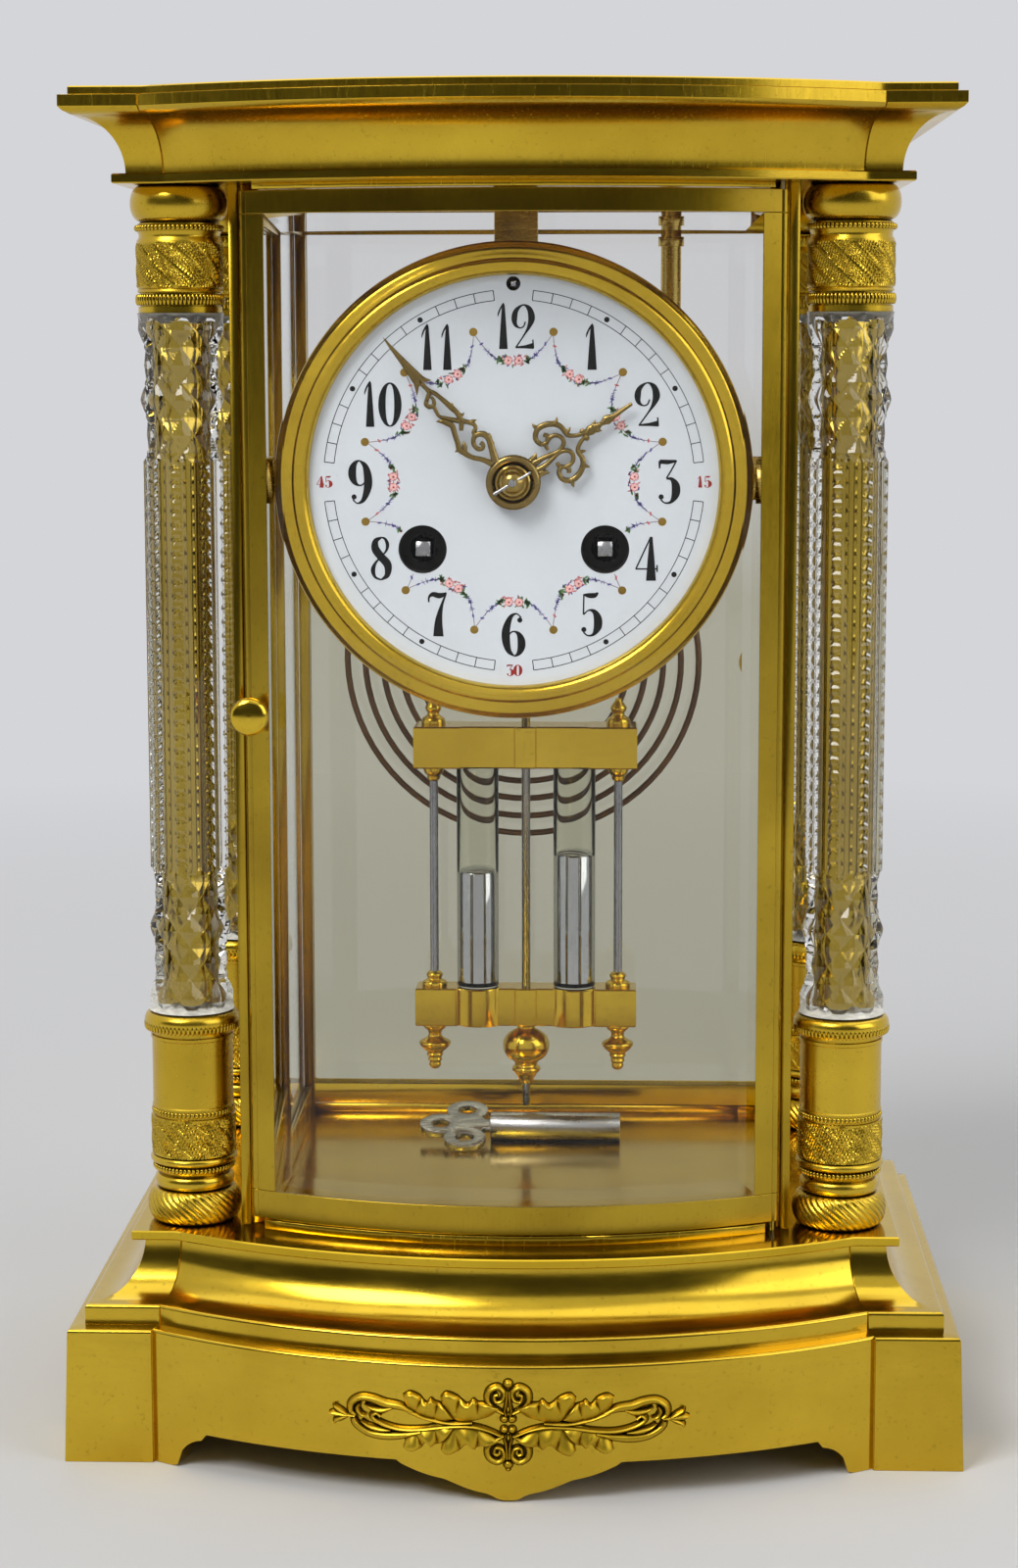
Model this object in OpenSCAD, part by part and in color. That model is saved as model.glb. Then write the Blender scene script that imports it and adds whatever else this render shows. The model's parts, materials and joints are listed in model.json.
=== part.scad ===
// Crystal regulator clock: a bow-fronted gilt brass case with cut-glass columns, an enamel dial,
// a spring-driven striking movement, a coiled gong and a twin-jar pendulum.
// Millimetres. The origin is the middle of the footprint on the table, +Z is up, the front faces -Y.

/* [Plinth] */
// Width over the corner blocks at the table
plinth_w = 207; // [201:1:213]
// Depth from the middle of the bowed front to the back
plinth_d = 165; // [162:1:172]
// Height of the plinth
plinth_h = 31.5; // [29:0.5:35]
// Forward rise of the bowed front
bow_rise = 22.4; // [20.5:0.2:24.5]
// Width of each flat corner block
block_w = 20.5; // [18.5:0.5:22.5]
// Set-back where the bow meets a corner block
ear = 1.2; // [0.6:0.1:1.8]
// Inward lean of each side from the table to the top
batter = 1.1; // [0:0.1:2]
// Wall thickness of the plinth
plinth_wall = 8; // [7:0.5:9]
// Height of the apron's straight edge above the table
apron_lift = 8.9; // [8:0.1:10]
// Gap between the table and the pendant in the middle of the apron
pendant_gap = 0.4; // [0.3:0.1:1.2]
// Half-width of the pendant in the middle of the apron
pendant_w = 3.7; // [3:0.1:4.4]
// Height of the pendant
pendant_h = 1.3; // [0.8:0.1:1.8]
// Half-width of the scalloped middle of the apron
scallop_w = 24.6; // [22:0.2:27]
// Step at each end of the scalloped middle
scallop_step = 0.6; // [0.3:0.1:1]
// Sag of each scallop
scallop_sag = 0.45; // [0.2:0.05:0.8]
// Width of each bracket foot beside its corner block
foot_w = 6; // [5:0.5:8]
// Reach of the hollow bracket beyond its foot
bracket_w = 7.2; // [6:0.2:8.4]
// Step from the bracket up to the straight edge
bracket_step = 1.5; // [0.8:0.1:2.2]
// Width of the raised mount on the apron
mount_w = 81; // [74:1:86]
// Height of the raised mount on the apron
mount_h = 21; // [19:0.5:23]
// Relief of the raised mount
mount_relief = 1.6; // [1:0.1:2.2]

/* [Mouldings and plates] */
// Height of the step on the plinth
step_h = 4.6; // [3.6:0.2:5.6]
// Inset of the step from the plinth's edge
step_inset = 4.6; // [4:0.2:5.4]
// Height of the hollow above the step
hollow_h = 12.7; // [11:0.1:15]
// Thickness of the lower and upper plates
plate_t = 2.2; // [1.8:0.1:3]
// Inset of the plates from the plinth's edge
plate_inset = 14.2; // [13.4:0.2:15]
// Overhang of the plates beyond the foot of each hollow
plate_lip = 2.8; // [2:0.1:3.2]
// Share of each inset that is kept at the back
back_share = 0.63; // [0.58:0.01:0.68]
// Loss of bow for each millimetre of inset
bow_fade = 0.125; // [0.08:0.005:0.16]
// Clear height between the plates
case_h = 240.4; // [237:0.2:246]
// Height of the cornice's hollow
cornice_h = 13.2; // [11.5:0.1:15]
// Height of the cornice's rim
rim_h = 3.3; // [2.6:0.1:4.2]
// Inset of the rim from the plinth's edge
rim_inset = 4.2; // [3.4:0.2:5]
// Thickness of the top plate
top_t = 2; // [1.5:0.1:3]
// Inset of the top plate from the plinth's edge
top_inset = 6.2; // [5.6:0.2:7]

/* [Columns] */
// Distance of each column's axis from the plate's edges
column_inset = 13.2; // [12.8:0.1:13.8]
// Radius of the engraved brass bands
band_r = 9.8; // [9.4:0.1:10.2]
// Height of each column base
base_h = 50.6; // [47:0.2:54]
// Height of each column capital
capital_h = 28.5; // [27:0.1:31]
// Radius over the diamond facets of the glass
diamond_r = 9.8; // [9.3:0.1:10]
// Radius over the ridges of the fluted glass
flute_r = 9; // [8.4:0.1:9.4]
// Depth of the flutes and facets
cut_depth = 0.9; // [0.5:0.1:1.3]
// Height of each diamond-faceted zone
diamond_h = 33; // [28:1:38]

/* [Doors and glass] */
// Distance of the doors' sides from the plinth's sides
door_inset = 41.8; // [41.3:0.1:43.5]
// Distance of the corner posts' sides from the plinth's sides
post_inset = 39.3; // [38.8:0.1:39.8]
// Set-back of the front door's ends from the plate's corner
door_setback = 4.9; // [4.5:0.1:5.3]
// Bow of the front door
door_bow = 14.1; // [13:0.1:15]
// Thickness of the front door
door_t = 3.4; // [3:0.1:3.8]
// Width of the front door's stiles
stile_w = 5.9; // [5.4:0.1:6.6]
// Height of the front door's bottom rail
bottom_rail = 6.7; // [5.8:0.1:7.6]
// Height of the front door's top rail
top_rail = 5.2; // [4.6:0.1:6]
// Thickness of the bowed front glass
front_glass_t = 1.9; // [1.5:0.1:2]
// Brass left in front of the glass
rabbet_face = 1.2; // [1:0.1:1.4]
// Overlap of the glass behind the frame
rabbet_w = 1.7; // [1.3:0.1:2]
// Height of the sills under the doors
sill_h = 2.1; // [1.6:0.1:2.6]
// Height of the lintels over the doors
lintel_h = 1.2; // [1:0.1:1.8]
// Gap around each door
door_gap = 0.3; // [0.2:0.05:0.5]
// Radius of the hinge pins
pin_r = 0.8; // [0.6:0.05:0.9]
// Length of each hinge pin inside a door
pin_l = 7; // [5:0.5:8]
// Thickness of the back door
back_t = 3.2; // [2.8:0.1:3.6]
// Width of the back door's stiles
back_stile = 4.2; // [3.8:0.1:5]
// Height of the back door's rails
back_rail = 6.2; // [5:0.1:7]
// Thickness of the back glass
back_glass_t = 1.8; // [1.4:0.1:2]
// Thickness of the side glasses
side_glass_t = 2.4; // [2:0.1:2.8]
// Height of the channels that hold the side glasses
channel_h = 8; // [6:0.5:10]
// Radius of the door knobs
knob_r = 4.4; // [3.8:0.1:5]
// Height of the front knob above the case floor
knob_up = 121; // [100:1:140]

/* [Dial] */
// Drop of the dial's centre below the upper plate
dial_drop = 66.5; // [65:0.1:68]
// Set-back of the dial's face from the door's ends
dial_setback = 2; // [1.6:0.1:2.6]
// Radius of the enamel that shows
enamel_r = 46.4; // [45.8:0.1:47]
// Radius over the bezel
bezel_r = 54; // [53.4:0.1:54.6]
// Depth of the drum behind the dial
drum_d = 18; // [17:0.5:19]
// Thickness of the enamel dial
dial_t = 1.6; // [1.2:0.1:2]
// Distance of each winding square from the middle
wind_x = 20.7; // [20.5:0.1:21]
// Drop of the winding squares below the dial's centre
wind_drop = 15.3; // [15:0.1:15.6]
// Radius of the winding holes
wind_hole_r = 5.5; // [5:0.1:5.8]
// Side of the winding squares
wind_square = 3.3; // [3:0.1:3.4]
// Height of the regulating square above the dial's centre
regulator_up = 44.4; // [44.2:0.1:44.7]
// Length of the minute hand
minute_l = 43.8; // [41:0.2:45]
// Length of the hour hand
hour_l = 32.2; // [30:0.2:34]
// Thickness of the hands
hand_t = 0.9; // [0.7:0.1:1.1]
// Clockwise angle of the minute hand from the top
minute_at = 317.8; // [0:0.1:360]
// Clockwise angle of the hour hand from the top
hour_at = 56.4; // [0:0.1:360]

/* [Movement] */
// Radius of the movement plates
frame_r = 42.6; // [42.4:0.1:43]
// Thickness of the movement plates
frame_t = 2.5; // [2:0.1:3]
// Distance between the movement plates
frame_gap = 35.5; // [35:0.5:37]
// Tooth size of the barrels and second wheel
great_m = 0.4; // [0.395:0.001:0.402]
// Tooth size of the centre wheel
centre_m = 0.41; // [0.404:0.001:0.414]
// Tooth size of the third wheel
third_m = 0.3333; // [0.33:0.0005:0.336]
// Radius over the escape wheel's teeth
escape_r = 8.4; // [8:0.1:8.6]
// Radius of the barrels
barrel_r = 14.2; // [13:0.1:14.4]
// Length of the barrels
barrel_l = 20; // [18:0.5:20]
// Radius of the arbors
arbor_r = 1; // [0.9:0.02:1.06]
// Radius of the pivots
pivot_r = 0.6; // [0.5:0.02:0.7]
// Running clearance of shafts in their holes
run = 0.05; // [0.03:0.01:0.08]
// Radius of the pillars
pillar_r = 2.5; // [2:0.1:2.6]

/* [Gong] */
// Outer radius of the gong's coil
gong_r = 48; // [47:0.1:48.4]
// Spacing of the gong's loops
gong_pitch = 4.6; // [4.2:0.1:4.8]
// Number of loops in the gong
gong_loops = 5; // [4:1:5]
// Radius of the gong's wire
gong_wire_r = 0.8; // [0.6:0.05:0.9]
// Drop of the gong's centre below the dial's centre
gong_drop = 50.5; // [50:0.1:51.5]
// Distance of the gong's plane behind the movement
gong_back = 37.5; // [37:0.1:38]
// Distance of the gong's post to the right of the middle
gong_post_x = 36.9; // [36:0.1:38]
// Radius of the gong's post
gong_post_r = 2.6; // [2:0.1:2.8]

/* [Pendulum] */
// Distance of the pendulum's plane behind the movement
pendulum_back = 25.5; // [25:0.1:26.5]
// Drop of the upper block's top below the pivot
bob_drop = 105; // [103:0.5:107]
// Half-width of the pendulum's blocks
bob_w = 28.6; // [27.4:0.2:29.6]
// Height of the upper block
upper_block_h = 10.8; // [9.5:0.1:12]
// Height between the two blocks
jar_h = 57.7; // [55:0.5:59]
// Height of the lower block
lower_block_h = 9.9; // [9:0.1:11]
// Distance of each side rod from the middle
side_rod_x = 23.8; // [23:0.1:24.2]
// Distance of each jar's axis from the middle
jar_x = 12.5; // [12:0.1:13]
// Radius of the glass jars
jar_r = 5.4; // [5:0.1:5.8]
// Wall of the glass jars
jar_wall = 0.7; // [0.6:0.05:0.9]
// Height of the mercury in the left jar
mercury_left = 30; // [24:1:36]
// Height of the mercury in the right jar
mercury_right = 34.5; // [28:0.5:40]
// Radius of the pendulum rod
rod_r = 1.1; // [0.9:0.05:1.3]
// Height of the rating nut
nut_h = 15.6; // [13:0.2:17]
// Length of the threaded rod below the rating nut
thread_l = 6; // [3:0.5:7]

/* [Key] */
// Radius of the key's barrel
key_r = 3.6; // [3:0.1:4]
// Length of the key's barrel
key_l = 33.5; // [30:0.5:36]
// Distance of the key's axis in front of the pendulum
key_ahead = 7; // [6.6:0.1:8]

/* [Hidden] */
$fn = 64;

gilt = "goldenrod";
brass = "darkgoldenrod";
steel = "silver";
blued = "dimgray";
crystal = [0.82, 0.9, 0.92, 0.4];

// heights of the case
step_top = plinth_h + step_h;
hollow_top = step_top + hollow_h;
floor_z = hollow_top + plate_t;
ceiling_z = floor_z + case_h;
cornice_z = ceiling_z + plate_t;
rim_z = cornice_z + cornice_h;
top_z = rim_z + rim_h;

// plan of the case at an inset from the plinth's edge
bow_steps = 20;
crease_shift = 0.28;
apex_y = (mount_relief - plinth_d) / 2;
function half_w(d) = plinth_w / 2 - d;
function rise(d) = bow_rise - bow_fade * d;
function crease_x(d) = plinth_w / 2 - block_w - crease_shift * d;
function front_y(d) = apex_y + bow_rise + d;
function back_y(d) = apex_y + plinth_d - back_share * d;
function bow_r(d, e) = (pow(crease_x(d), 2) + pow(rise(d) + e, 2)) / (2 * (rise(d) + e));
function bow_cy(d, e) = front_y(d) - rise(d) + bow_r(d, e);
function bow_arc(d, e) =
    let (r = bow_r(d, e), a = asin(crease_x(d) / r))
    [for (i = [0:bow_steps]) let (t = a * (2 * i / bow_steps - 1)) [r * sin(t), bow_cy(d, e) - r * cos(t)]];
function plan(d, lean) =
    let (w = half_w(d) - lean)
    concat([[-w, front_y(d)], [-crease_x(d), front_y(d)]],
           bow_arc(d, ear),
           [[crease_x(d), front_y(d)], [w, front_y(d)], [w, back_y(d)], [-w, back_y(d)]]);

// ring swept round the plan, whose section is a closed list of [inset, height, lean]
module swept_ring(section) {
    rings = [for (s = section) [for (p = plan(s[0], s[2])) [p[0], p[1], s[1]]]];
    n = len(rings[0]);
    m = len(rings);
    polyhedron(
        points = [for (r = rings) each r],
        faces = [for (j = [0:m - 1], i = [0:n - 1])
            let (a = j * n + i, b = j * n + (i + 1) % n,
                 c = ((j + 1) % m) * n + (i + 1) % n, d = ((j + 1) % m) * n + i)
            each [[a, c, b], [a, d, c]]],
        convexity = 6);
}

// flat outline of a plate at an inset
module plate_2d(d) {
    translate([-half_w(d), front_y(d)]) square([2 * half_w(d), back_y(d) - front_y(d)]);
    intersection() {
        translate([0, bow_cy(d, 0)]) circle(r = bow_r(d, 0), $fn = 128);
        translate([-crease_x(d), front_y(d) - rise(d) - 1]) square([2 * crease_x(d), rise(d) + 2]);
    }
}

// hollow curve between two points of a section, bending towards the corner [d1, z0]
function hollow(d0, z0, d1, z1, n) =
    [for (i = [0:n]) let (a = 90 * i / n) [d0 + (d1 - d0) * sin(a), z0 + (z1 - z0) * (1 - cos(a)), 0]];

// shapes that stand in the XZ plane, from y0 to y0 + t
module upright(y0, t) {
    translate([0, y0 + t, 0]) rotate([90, 0, 0]) linear_extrude(t, convexity = 8) children();
}
module rod_y(p, y0, y1, r) {
    translate([p[0], y0, p[1]]) rotate([-90, 0, 0]) cylinder(h = y1 - y0, r = r);
}
module turned_y(p, y0) {
    translate([p[0], y0, p[1]]) rotate([-90, 0, 0]) rotate_extrude() children();
}

// lens-shaped leaf from the origin along +X
module leaf_2d(l, w) {
    r = (l * l / 4 + w * w / 4) / w;
    intersection() {
        translate([l / 2, r - w / 2]) circle(r = r);
        translate([l / 2, w / 2 - r]) circle(r = r);
    }
}
module ring_2d(r, w) {
    difference() {
        circle(r = r);
        circle(r = r - w);
    }
}

// plinth: bracket feet, a straight apron edge and a scalloped middle with a pendant
foot_x = crease_x(0) - foot_w;
pendant_top = pendant_gap + pendant_h;
scallop_top = apron_lift - scallop_step;
function bracket(x, way) =
    [for (a = [0:15:90]) [x + way * bracket_w * (1 - cos(a)), (apron_lift - bracket_step) * sin(a)]];
function hanging(p, q, sag, n) =
    [for (i = [0:n]) let (t = i / n) p + (q - p) * t - [0, sag * sin(180 * t)]];
module apron_half_2d() {
    first = [scallop_w, scallop_top];
    last = [pendant_w, pendant_top];
    polygon(concat(
        [[0, -1], [foot_x, -1]],
        bracket(foot_x, -1),
        [[foot_x - bracket_w, apron_lift], [scallop_w, apron_lift]],
        hanging(first, (first + last) / 2, scallop_sag, 4),
        hanging((first + last) / 2, last, scallop_sag, 4),
        [for (a = [22.5:22.5:90]) [pendant_w * cos(a), pendant_top - pendant_h * sin(a)]]));
}
module side_arch_2d(y0, y1) {
    far = bracket(y1, -1);
    near = bracket(y0, 1);
    polygon(concat(
        [[y0, -1], [y1, -1]],
        far,
        [[y1 - bracket_w, apron_lift], [y0 + bracket_w, apron_lift]],
        [for (i = [len(near) - 1:-1:0]) near[i]]));
}
module plinth() {
    reach = plinth_w + 2;
    color(gilt) difference() {
        swept_ring([[0, 0, 0], [0, plinth_h, batter], [plinth_wall, plinth_h, 0], [plinth_wall, 0, 0]]);
        upright(apex_y - 1, bow_rise + plinth_wall + 3) {
            apron_half_2d();
            mirror([1, 0]) apron_half_2d();
        }
        translate([-reach / 2, 0, 0]) rotate([90, 0, 90]) linear_extrude(reach)
            side_arch_2d(front_y(0) + block_w, back_y(0) - block_w);
        upright(back_y(0) - plinth_wall - 1, plinth_wall + 2)
            side_arch_2d(block_w - half_w(0), half_w(0) - block_w);
    }
}

// raised mount on the apron: a bead column with four scrolls, leaf sprays, outer loops and end buds
mount_z = plinth_h - mount_h / 2 - 2.6;
module acanthus_2d(root, lobes) {
    for (p = lobes) hull() {
        translate(root) circle(r = mount_h * 0.04);
        translate([p[0], p[1]]) circle(r = p[2]);
    }
}
module spray_2d() {
    u = mount_w / 2;
    v = mount_h / 2;
    for (s = [-1, 1]) {
        translate([0.065 * u, s * 0.6 * v]) {
            ring_2d(0.24 * v, 0.09 * v);
            circle(r = 0.08 * v);
            translate([0, -0.03 * v]) square([0.2 * v, 0.06 * v]);
        }
        for (k = [0, 1]) acanthus_2d(
            [(0.24 + 0.22 * k) * u, s * 0.07 * v],
            [[(0.1 + 0.3 * k) * u, s * (0.28 - 0.1 * k) * v, 0.1 * v],
             [(0.185 + 0.24 * k) * u, s * 0.43 * v, 0.085 * v],
             [(0.285 + 0.22 * k) * u, s * 0.52 * v, 0.085 * v],
             [(0.35 + 0.2 * k) * u, s * 0.56 * v, 0.095 * v]]);
    }
    translate([0.7 * u, 0.05 * v]) difference() {
        scale([0.18 * u, 0.42 * v]) circle(r = 1);
        scale([0.135 * u, 0.27 * v]) circle(r = 1);
    }
    translate([0, -0.05 * v]) square([0.55 * u, 0.1 * v]);
    translate([0.84 * u, 0]) leaf_2d(0.16 * u, 0.4 * v);
}
module apron_mount() {
    r = bow_r(0, ear);
    color(gilt) intersection() {
        upright(apex_y - mount_relief - 1, bow_rise + mount_relief)
            translate([0, mount_z]) {
                for (i = [-3:3]) translate([0, i * mount_h / 7.4]) circle(d = mount_h / 6.6, $fn = 24);
                square([1.4, mount_h * 0.9], center = true);
                spray_2d($fn = 20);
                mirror([1, 0]) spray_2d($fn = 20);
            }
        translate([0, bow_cy(0, ear), 0]) difference() {
            cylinder(h = plinth_h, r = r + mount_relief, $fn = 128);
            translate([0, 0, -1]) cylinder(h = plinth_h + 2, r = r + 0.03, $fn = 128);
        }
    }
}

// mouldings and plates
lip = 0.8;
hollow_foot = plate_inset + plate_lip;
ring_back = hollow_foot + 1.7;
module base_moulding() {
    color(gilt) swept_ring(concat(
        [[step_inset, plinth_h, 0], [step_inset, step_top - lip, 0], [step_inset + lip, step_top, 0]],
        hollow(step_inset + 3 * lip, step_top, hollow_foot, hollow_top, 7),
        [[ring_back, hollow_top, 0], [ring_back, plinth_h, 0]]));
}
module lower_plate() {
    color(gilt) difference() {
        translate([0, 0, hollow_top]) linear_extrude(plate_t) plate_2d(plate_inset);
        for (p = hinge_points)
            translate([p[0], p[1], floor_z - plate_t / 2]) cylinder(h = plate_t, r = pin_r + run);
    }
}
module upper_plate() {
    color(gilt) difference() {
        translate([0, 0, ceiling_z]) linear_extrude(plate_t) plate_2d(plate_inset);
        for (p = hinge_points)
            translate([p[0], p[1], ceiling_z - plate_t / 2]) cylinder(h = plate_t, r = pin_r + run);
    }
}
module cornice() {
    curve = hollow(rim_inset + 3 * lip, rim_z - lip, hollow_foot, cornice_z, 7);
    color(gilt) swept_ring(concat(
        [for (i = [7:-1:0]) curve[i]],
        [[rim_inset + lip, rim_z, 0], [rim_inset, rim_z + lip, 0], [rim_inset, top_z, 0]],
        [[ring_back, top_z, 0], [ring_back, cornice_z, 0]]));
}
module top_plate() {
    color(gilt) translate([0, 0, top_z]) linear_extrude(top_t) plate_2d(top_inset);
}

// doors, posts and rails
door_w = plinth_w - 2 * door_inset;
post_w = plinth_w - 2 * post_inset;
post_t = 6.7;
post_inside = post_w / 2 - post_t;
door_y = front_y(plate_inset) + door_setback;
door_r = (pow(door_w / 2, 2) + pow(door_bow, 2)) / (2 * door_bow);
door_cy = door_y - door_bow + door_r;
hinge_x = door_w / 2 - door_t / 2;
hinge_y = door_cy - sqrt(pow(door_r - door_t / 2, 2) - pow(hinge_x, 2));
door_z0 = floor_z + sill_h + door_gap;
door_z1 = ceiling_z - lintel_h - door_gap;
window_x = door_w / 2 - stile_w;
window_z0 = door_z0 + bottom_rail;
window_z1 = door_z1 - top_rail;
back_out = back_y(plate_inset) - door_gap;
back_in = back_out - back_t;
back_hinge_x = door_w / 2 - back_t / 2;
back_hinge_y = back_in + back_t / 2;
hinge_points = [[hinge_x, hinge_y], [-back_hinge_x, back_hinge_y]];
post_leg = 3.7;
front_stop = hinge_y + door_t / 2 + door_gap;
back_stop = back_in - door_gap;
glass_y0 = front_stop + post_leg;
glass_y1 = back_stop - post_leg;
channel_wall = 1.5;
glass_x1 = post_w / 2 - channel_wall - 0.7;
glass_x0 = glass_x1 - side_glass_t;
seat = 0.1;

module door_2d(r0, r1) {
    a = asin(hinge_x / (door_r - door_t / 2));
    far = 2 * door_r;
    intersection() {
        translate([0, door_cy]) difference() {
            circle(r = r1, $fn = 160);
            circle(r = r0, $fn = 160);
        }
        translate([0, door_cy])
            polygon([[0, 0], [-far * sin(a), -far * cos(a)], [far * sin(a), -far * cos(a)]]);
    }
}
module front_box(grow) {
    translate([-window_x - grow, door_y - door_bow - 1, window_z0 - grow])
        cube([2 * (window_x + grow), door_bow + door_t + 2, window_z1 - window_z0 + 2 * grow]);
}
module front_door_frame() {
    color(gilt) difference() {
        translate([0, 0, door_z0]) linear_extrude(door_z1 - door_z0) {
            door_2d(door_r - door_t, door_r);
            for (s = [-1, 1]) translate([s * hinge_x, hinge_y]) circle(d = door_t);
        }
        front_box(0);
        intersection() {
            front_box(rabbet_w);
            translate([0, door_cy, 0]) cylinder(h = ceiling_z, r = door_r - rabbet_face, $fn = 160);
        }
        for (z = [door_z0 - 1, door_z1 - pin_l - 2 * run])
            translate([hinge_x, hinge_y, z]) cylinder(h = pin_l + 2 * run + 1, r = pin_r + run);
        rod_y([-hinge_x, floor_z + knob_up], door_y - door_t, door_y + 2 * door_t, knob_stem + run);
    }
}
module front_glass() {
    outer = door_r - rabbet_face - seat;
    color(crystal) intersection() {
        front_box(rabbet_w - seat);
        translate([0, 0, window_z0 - rabbet_w]) linear_extrude(window_z1 - window_z0 + 2 * rabbet_w)
            door_2d(outer - front_glass_t, outer);
    }
}
knob_stem = 0.9;
module knob(x, y, z, out) {
    translate([x, y, z]) rotate([out > 0 ? -90 : 90, 0, 0]) rotate_extrude() polygon([
        [0, -2 * knob_stem], [knob_stem, -2 * knob_stem], [knob_stem, 0.5],
        [knob_r * 0.5, 0.5], [knob_r * 0.45, 2],
        [knob_r * 0.8, 2.6], [knob_r, 3.8], [knob_r * 0.92, 4.9], [knob_r * 0.6, 5.6], [0, 5.9]]);
}
module front_knob() {
    color(brass) knob(-hinge_x, hinge_y - door_t / 2 - 0.8, floor_z + knob_up, -1);
}
module back_door_frame() {
    inner_x = door_w / 2 - back_stile;
    z0 = door_z0 + back_rail;
    z1 = door_z1 - back_rail;
    color(gilt) difference() {
        translate([0, 0, door_z0]) linear_extrude(door_z1 - door_z0) {
            translate([-back_hinge_x, back_in]) square([2 * back_hinge_x, back_t]);
            for (s = [-1, 1]) translate([s * back_hinge_x, back_hinge_y]) circle(d = back_t);
        }
        translate([-inner_x, back_in - 1, z0]) cube([2 * inner_x, back_t + 2, z1 - z0]);
        translate([-inner_x - 1, back_in - 1, z0 - 1])
            cube([2 * inner_x + 2, back_glass_t + seat + 1, z1 - z0 + 2]);
        for (z = [door_z0 - 1, door_z1 - pin_l - 2 * run])
            translate([-back_hinge_x, back_hinge_y, z]) cylinder(h = pin_l + 2 * run + 1, r = pin_r + run);
        rod_y([back_hinge_x, floor_z + knob_up], back_in - 1, back_out + 1, knob_stem + run);
    }
}
module back_glass() {
    inner_x = door_w / 2 - back_stile;
    z0 = door_z0 + back_rail;
    z1 = door_z1 - back_rail;
    color(crystal) translate([-inner_x - 1 + seat, back_in, z0 - 1 + seat])
        cube([2 * (inner_x + 1 - seat), back_glass_t, z1 - z0 + 2 - 2 * seat]);
}
module back_knob() {
    color(brass) knob(back_hinge_x, back_out + 0.4, floor_z + knob_up, 1);
}
module hinge_pins() {
    color(steel) for (p = hinge_points) {
        translate([p[0], p[1], floor_z - plate_t / 2 + run])
            cylinder(h = plate_t / 2 + sill_h + door_gap + pin_l - run, r = pin_r);
        translate([p[0], p[1], door_z1 - pin_l])
            cylinder(h = pin_l + door_gap + lintel_h + plate_t / 2 - run, r = pin_r);
    }
}
module corner_posts() {
    inside = post_inside;
    leg_x = door_w / 2 + door_gap;
    leg_y = hinge_y + door_t * 0.2;
    leg_back = back_hinge_y - back_t * 0.2;
    color(gilt) for (s = [-1, 1]) translate([0, 0, floor_z]) linear_extrude(case_h) {
        mirror([s < 0 ? 1 : 0, 0]) {
            translate([inside, front_stop]) square([post_w / 2 - inside, post_leg]);
            translate([leg_x, leg_y]) square([post_w / 2 - leg_x, front_stop + post_leg - leg_y]);
        }
        mirror([s < 0 ? 1 : 0, 0]) {
            translate([inside, glass_y1]) square([post_w / 2 - inside, post_leg]);
            translate([leg_x, glass_y1]) square([post_w / 2 - leg_x, leg_back - glass_y1]);
        }
    }
}
module channel_2d() {
    x0 = glass_x0 - seat - channel_wall;
    difference() {
        translate([x0, 0]) square([post_w / 2 - x0, channel_h]);
        translate([glass_x0 - seat, sill_h]) square([side_glass_t + 2 * seat, channel_h]);
    }
}
module bow_strip_2d() {
    intersection() {
        door_2d(door_r - door_t - door_gap, door_r + door_gap);
        translate([-hinge_x + 2 * pin_r, door_cy - 2 * door_r])
            square([2 * hinge_x - 4 * pin_r, 2 * door_r]);
    }
}
module back_strip_2d() {
    translate([-back_hinge_x + 2 * pin_r, back_in]) square([2 * back_hinge_x - 4 * pin_r, back_t]);
}
module case_rails() {
    color(gilt) {
        translate([0, 0, floor_z]) linear_extrude(sill_h) bow_strip_2d();
        translate([0, 0, ceiling_z - lintel_h]) linear_extrude(lintel_h) bow_strip_2d();
        translate([0, 0, floor_z]) linear_extrude(sill_h) back_strip_2d();
        translate([0, 0, ceiling_z - lintel_h]) linear_extrude(lintel_h) back_strip_2d();
        for (s = [0, 1]) mirror([s, 0, 0]) {
            translate([0, glass_y1, floor_z]) rotate([90, 0, 0])
                linear_extrude(glass_y1 - glass_y0) channel_2d();
            translate([0, glass_y1, ceiling_z]) rotate([90, 0, 0]) linear_extrude(glass_y1 - glass_y0)
                mirror([0, 1]) channel_2d();
        }
    }
}
module side_glass(s) {
    color(crystal) mirror([s < 0 ? 1 : 0, 0, 0])
        translate([glass_x0, glass_y0 + seat, floor_z + sill_h + seat])
        cube([side_glass_t, glass_y1 - glass_y0 - 2 * seat, case_h - 2 * sill_h - 2 * seat]);
}
module side_glass_left() { side_glass(-1); }
module side_glass_right() { side_glass(1); }

// columns
column_x = half_w(plate_inset) - column_inset;
column_ys = [front_y(plate_inset) + column_inset, back_y(plate_inset) - column_inset];
module at_columns() {
    for (x = [-column_x, column_x], y = column_ys) translate([x, y, 0]) children();
}
function bulge(r, z0, z1, swell, n) =
    [for (i = [0:n]) let (a = 180 * i / n) [r + swell * sin(a), z0 + (z1 - z0) * (1 - cos(a)) / 2]];
module column_bases() {
    h = base_h;
    color(brass) at_columns() translate([0, 0, floor_z]) rotate_extrude() polygon(concat(
        [[0, 0]],
        bulge(band_r - 1, 0, h * 0.19, 2.1, 6),
        [[band_r - 1, h * 0.2], [band_r - 0.9, h * 0.25]],
        bulge(band_r, h * 0.26, h * 0.305, 0.5, 4),
        [[band_r, h * 0.31], [band_r, h * 0.515]],
        bulge(band_r - 0.3, h * 0.52, h * 0.54, 0.5, 4),
        [[band_r - 0.5, h * 0.545], [band_r - 0.5, h * 0.88]],
        bulge(band_r - 0.3, h * 0.885, h * 0.99, 1.1, 5),
        [[band_r - 0.3, h], [0, h]]));
}
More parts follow.
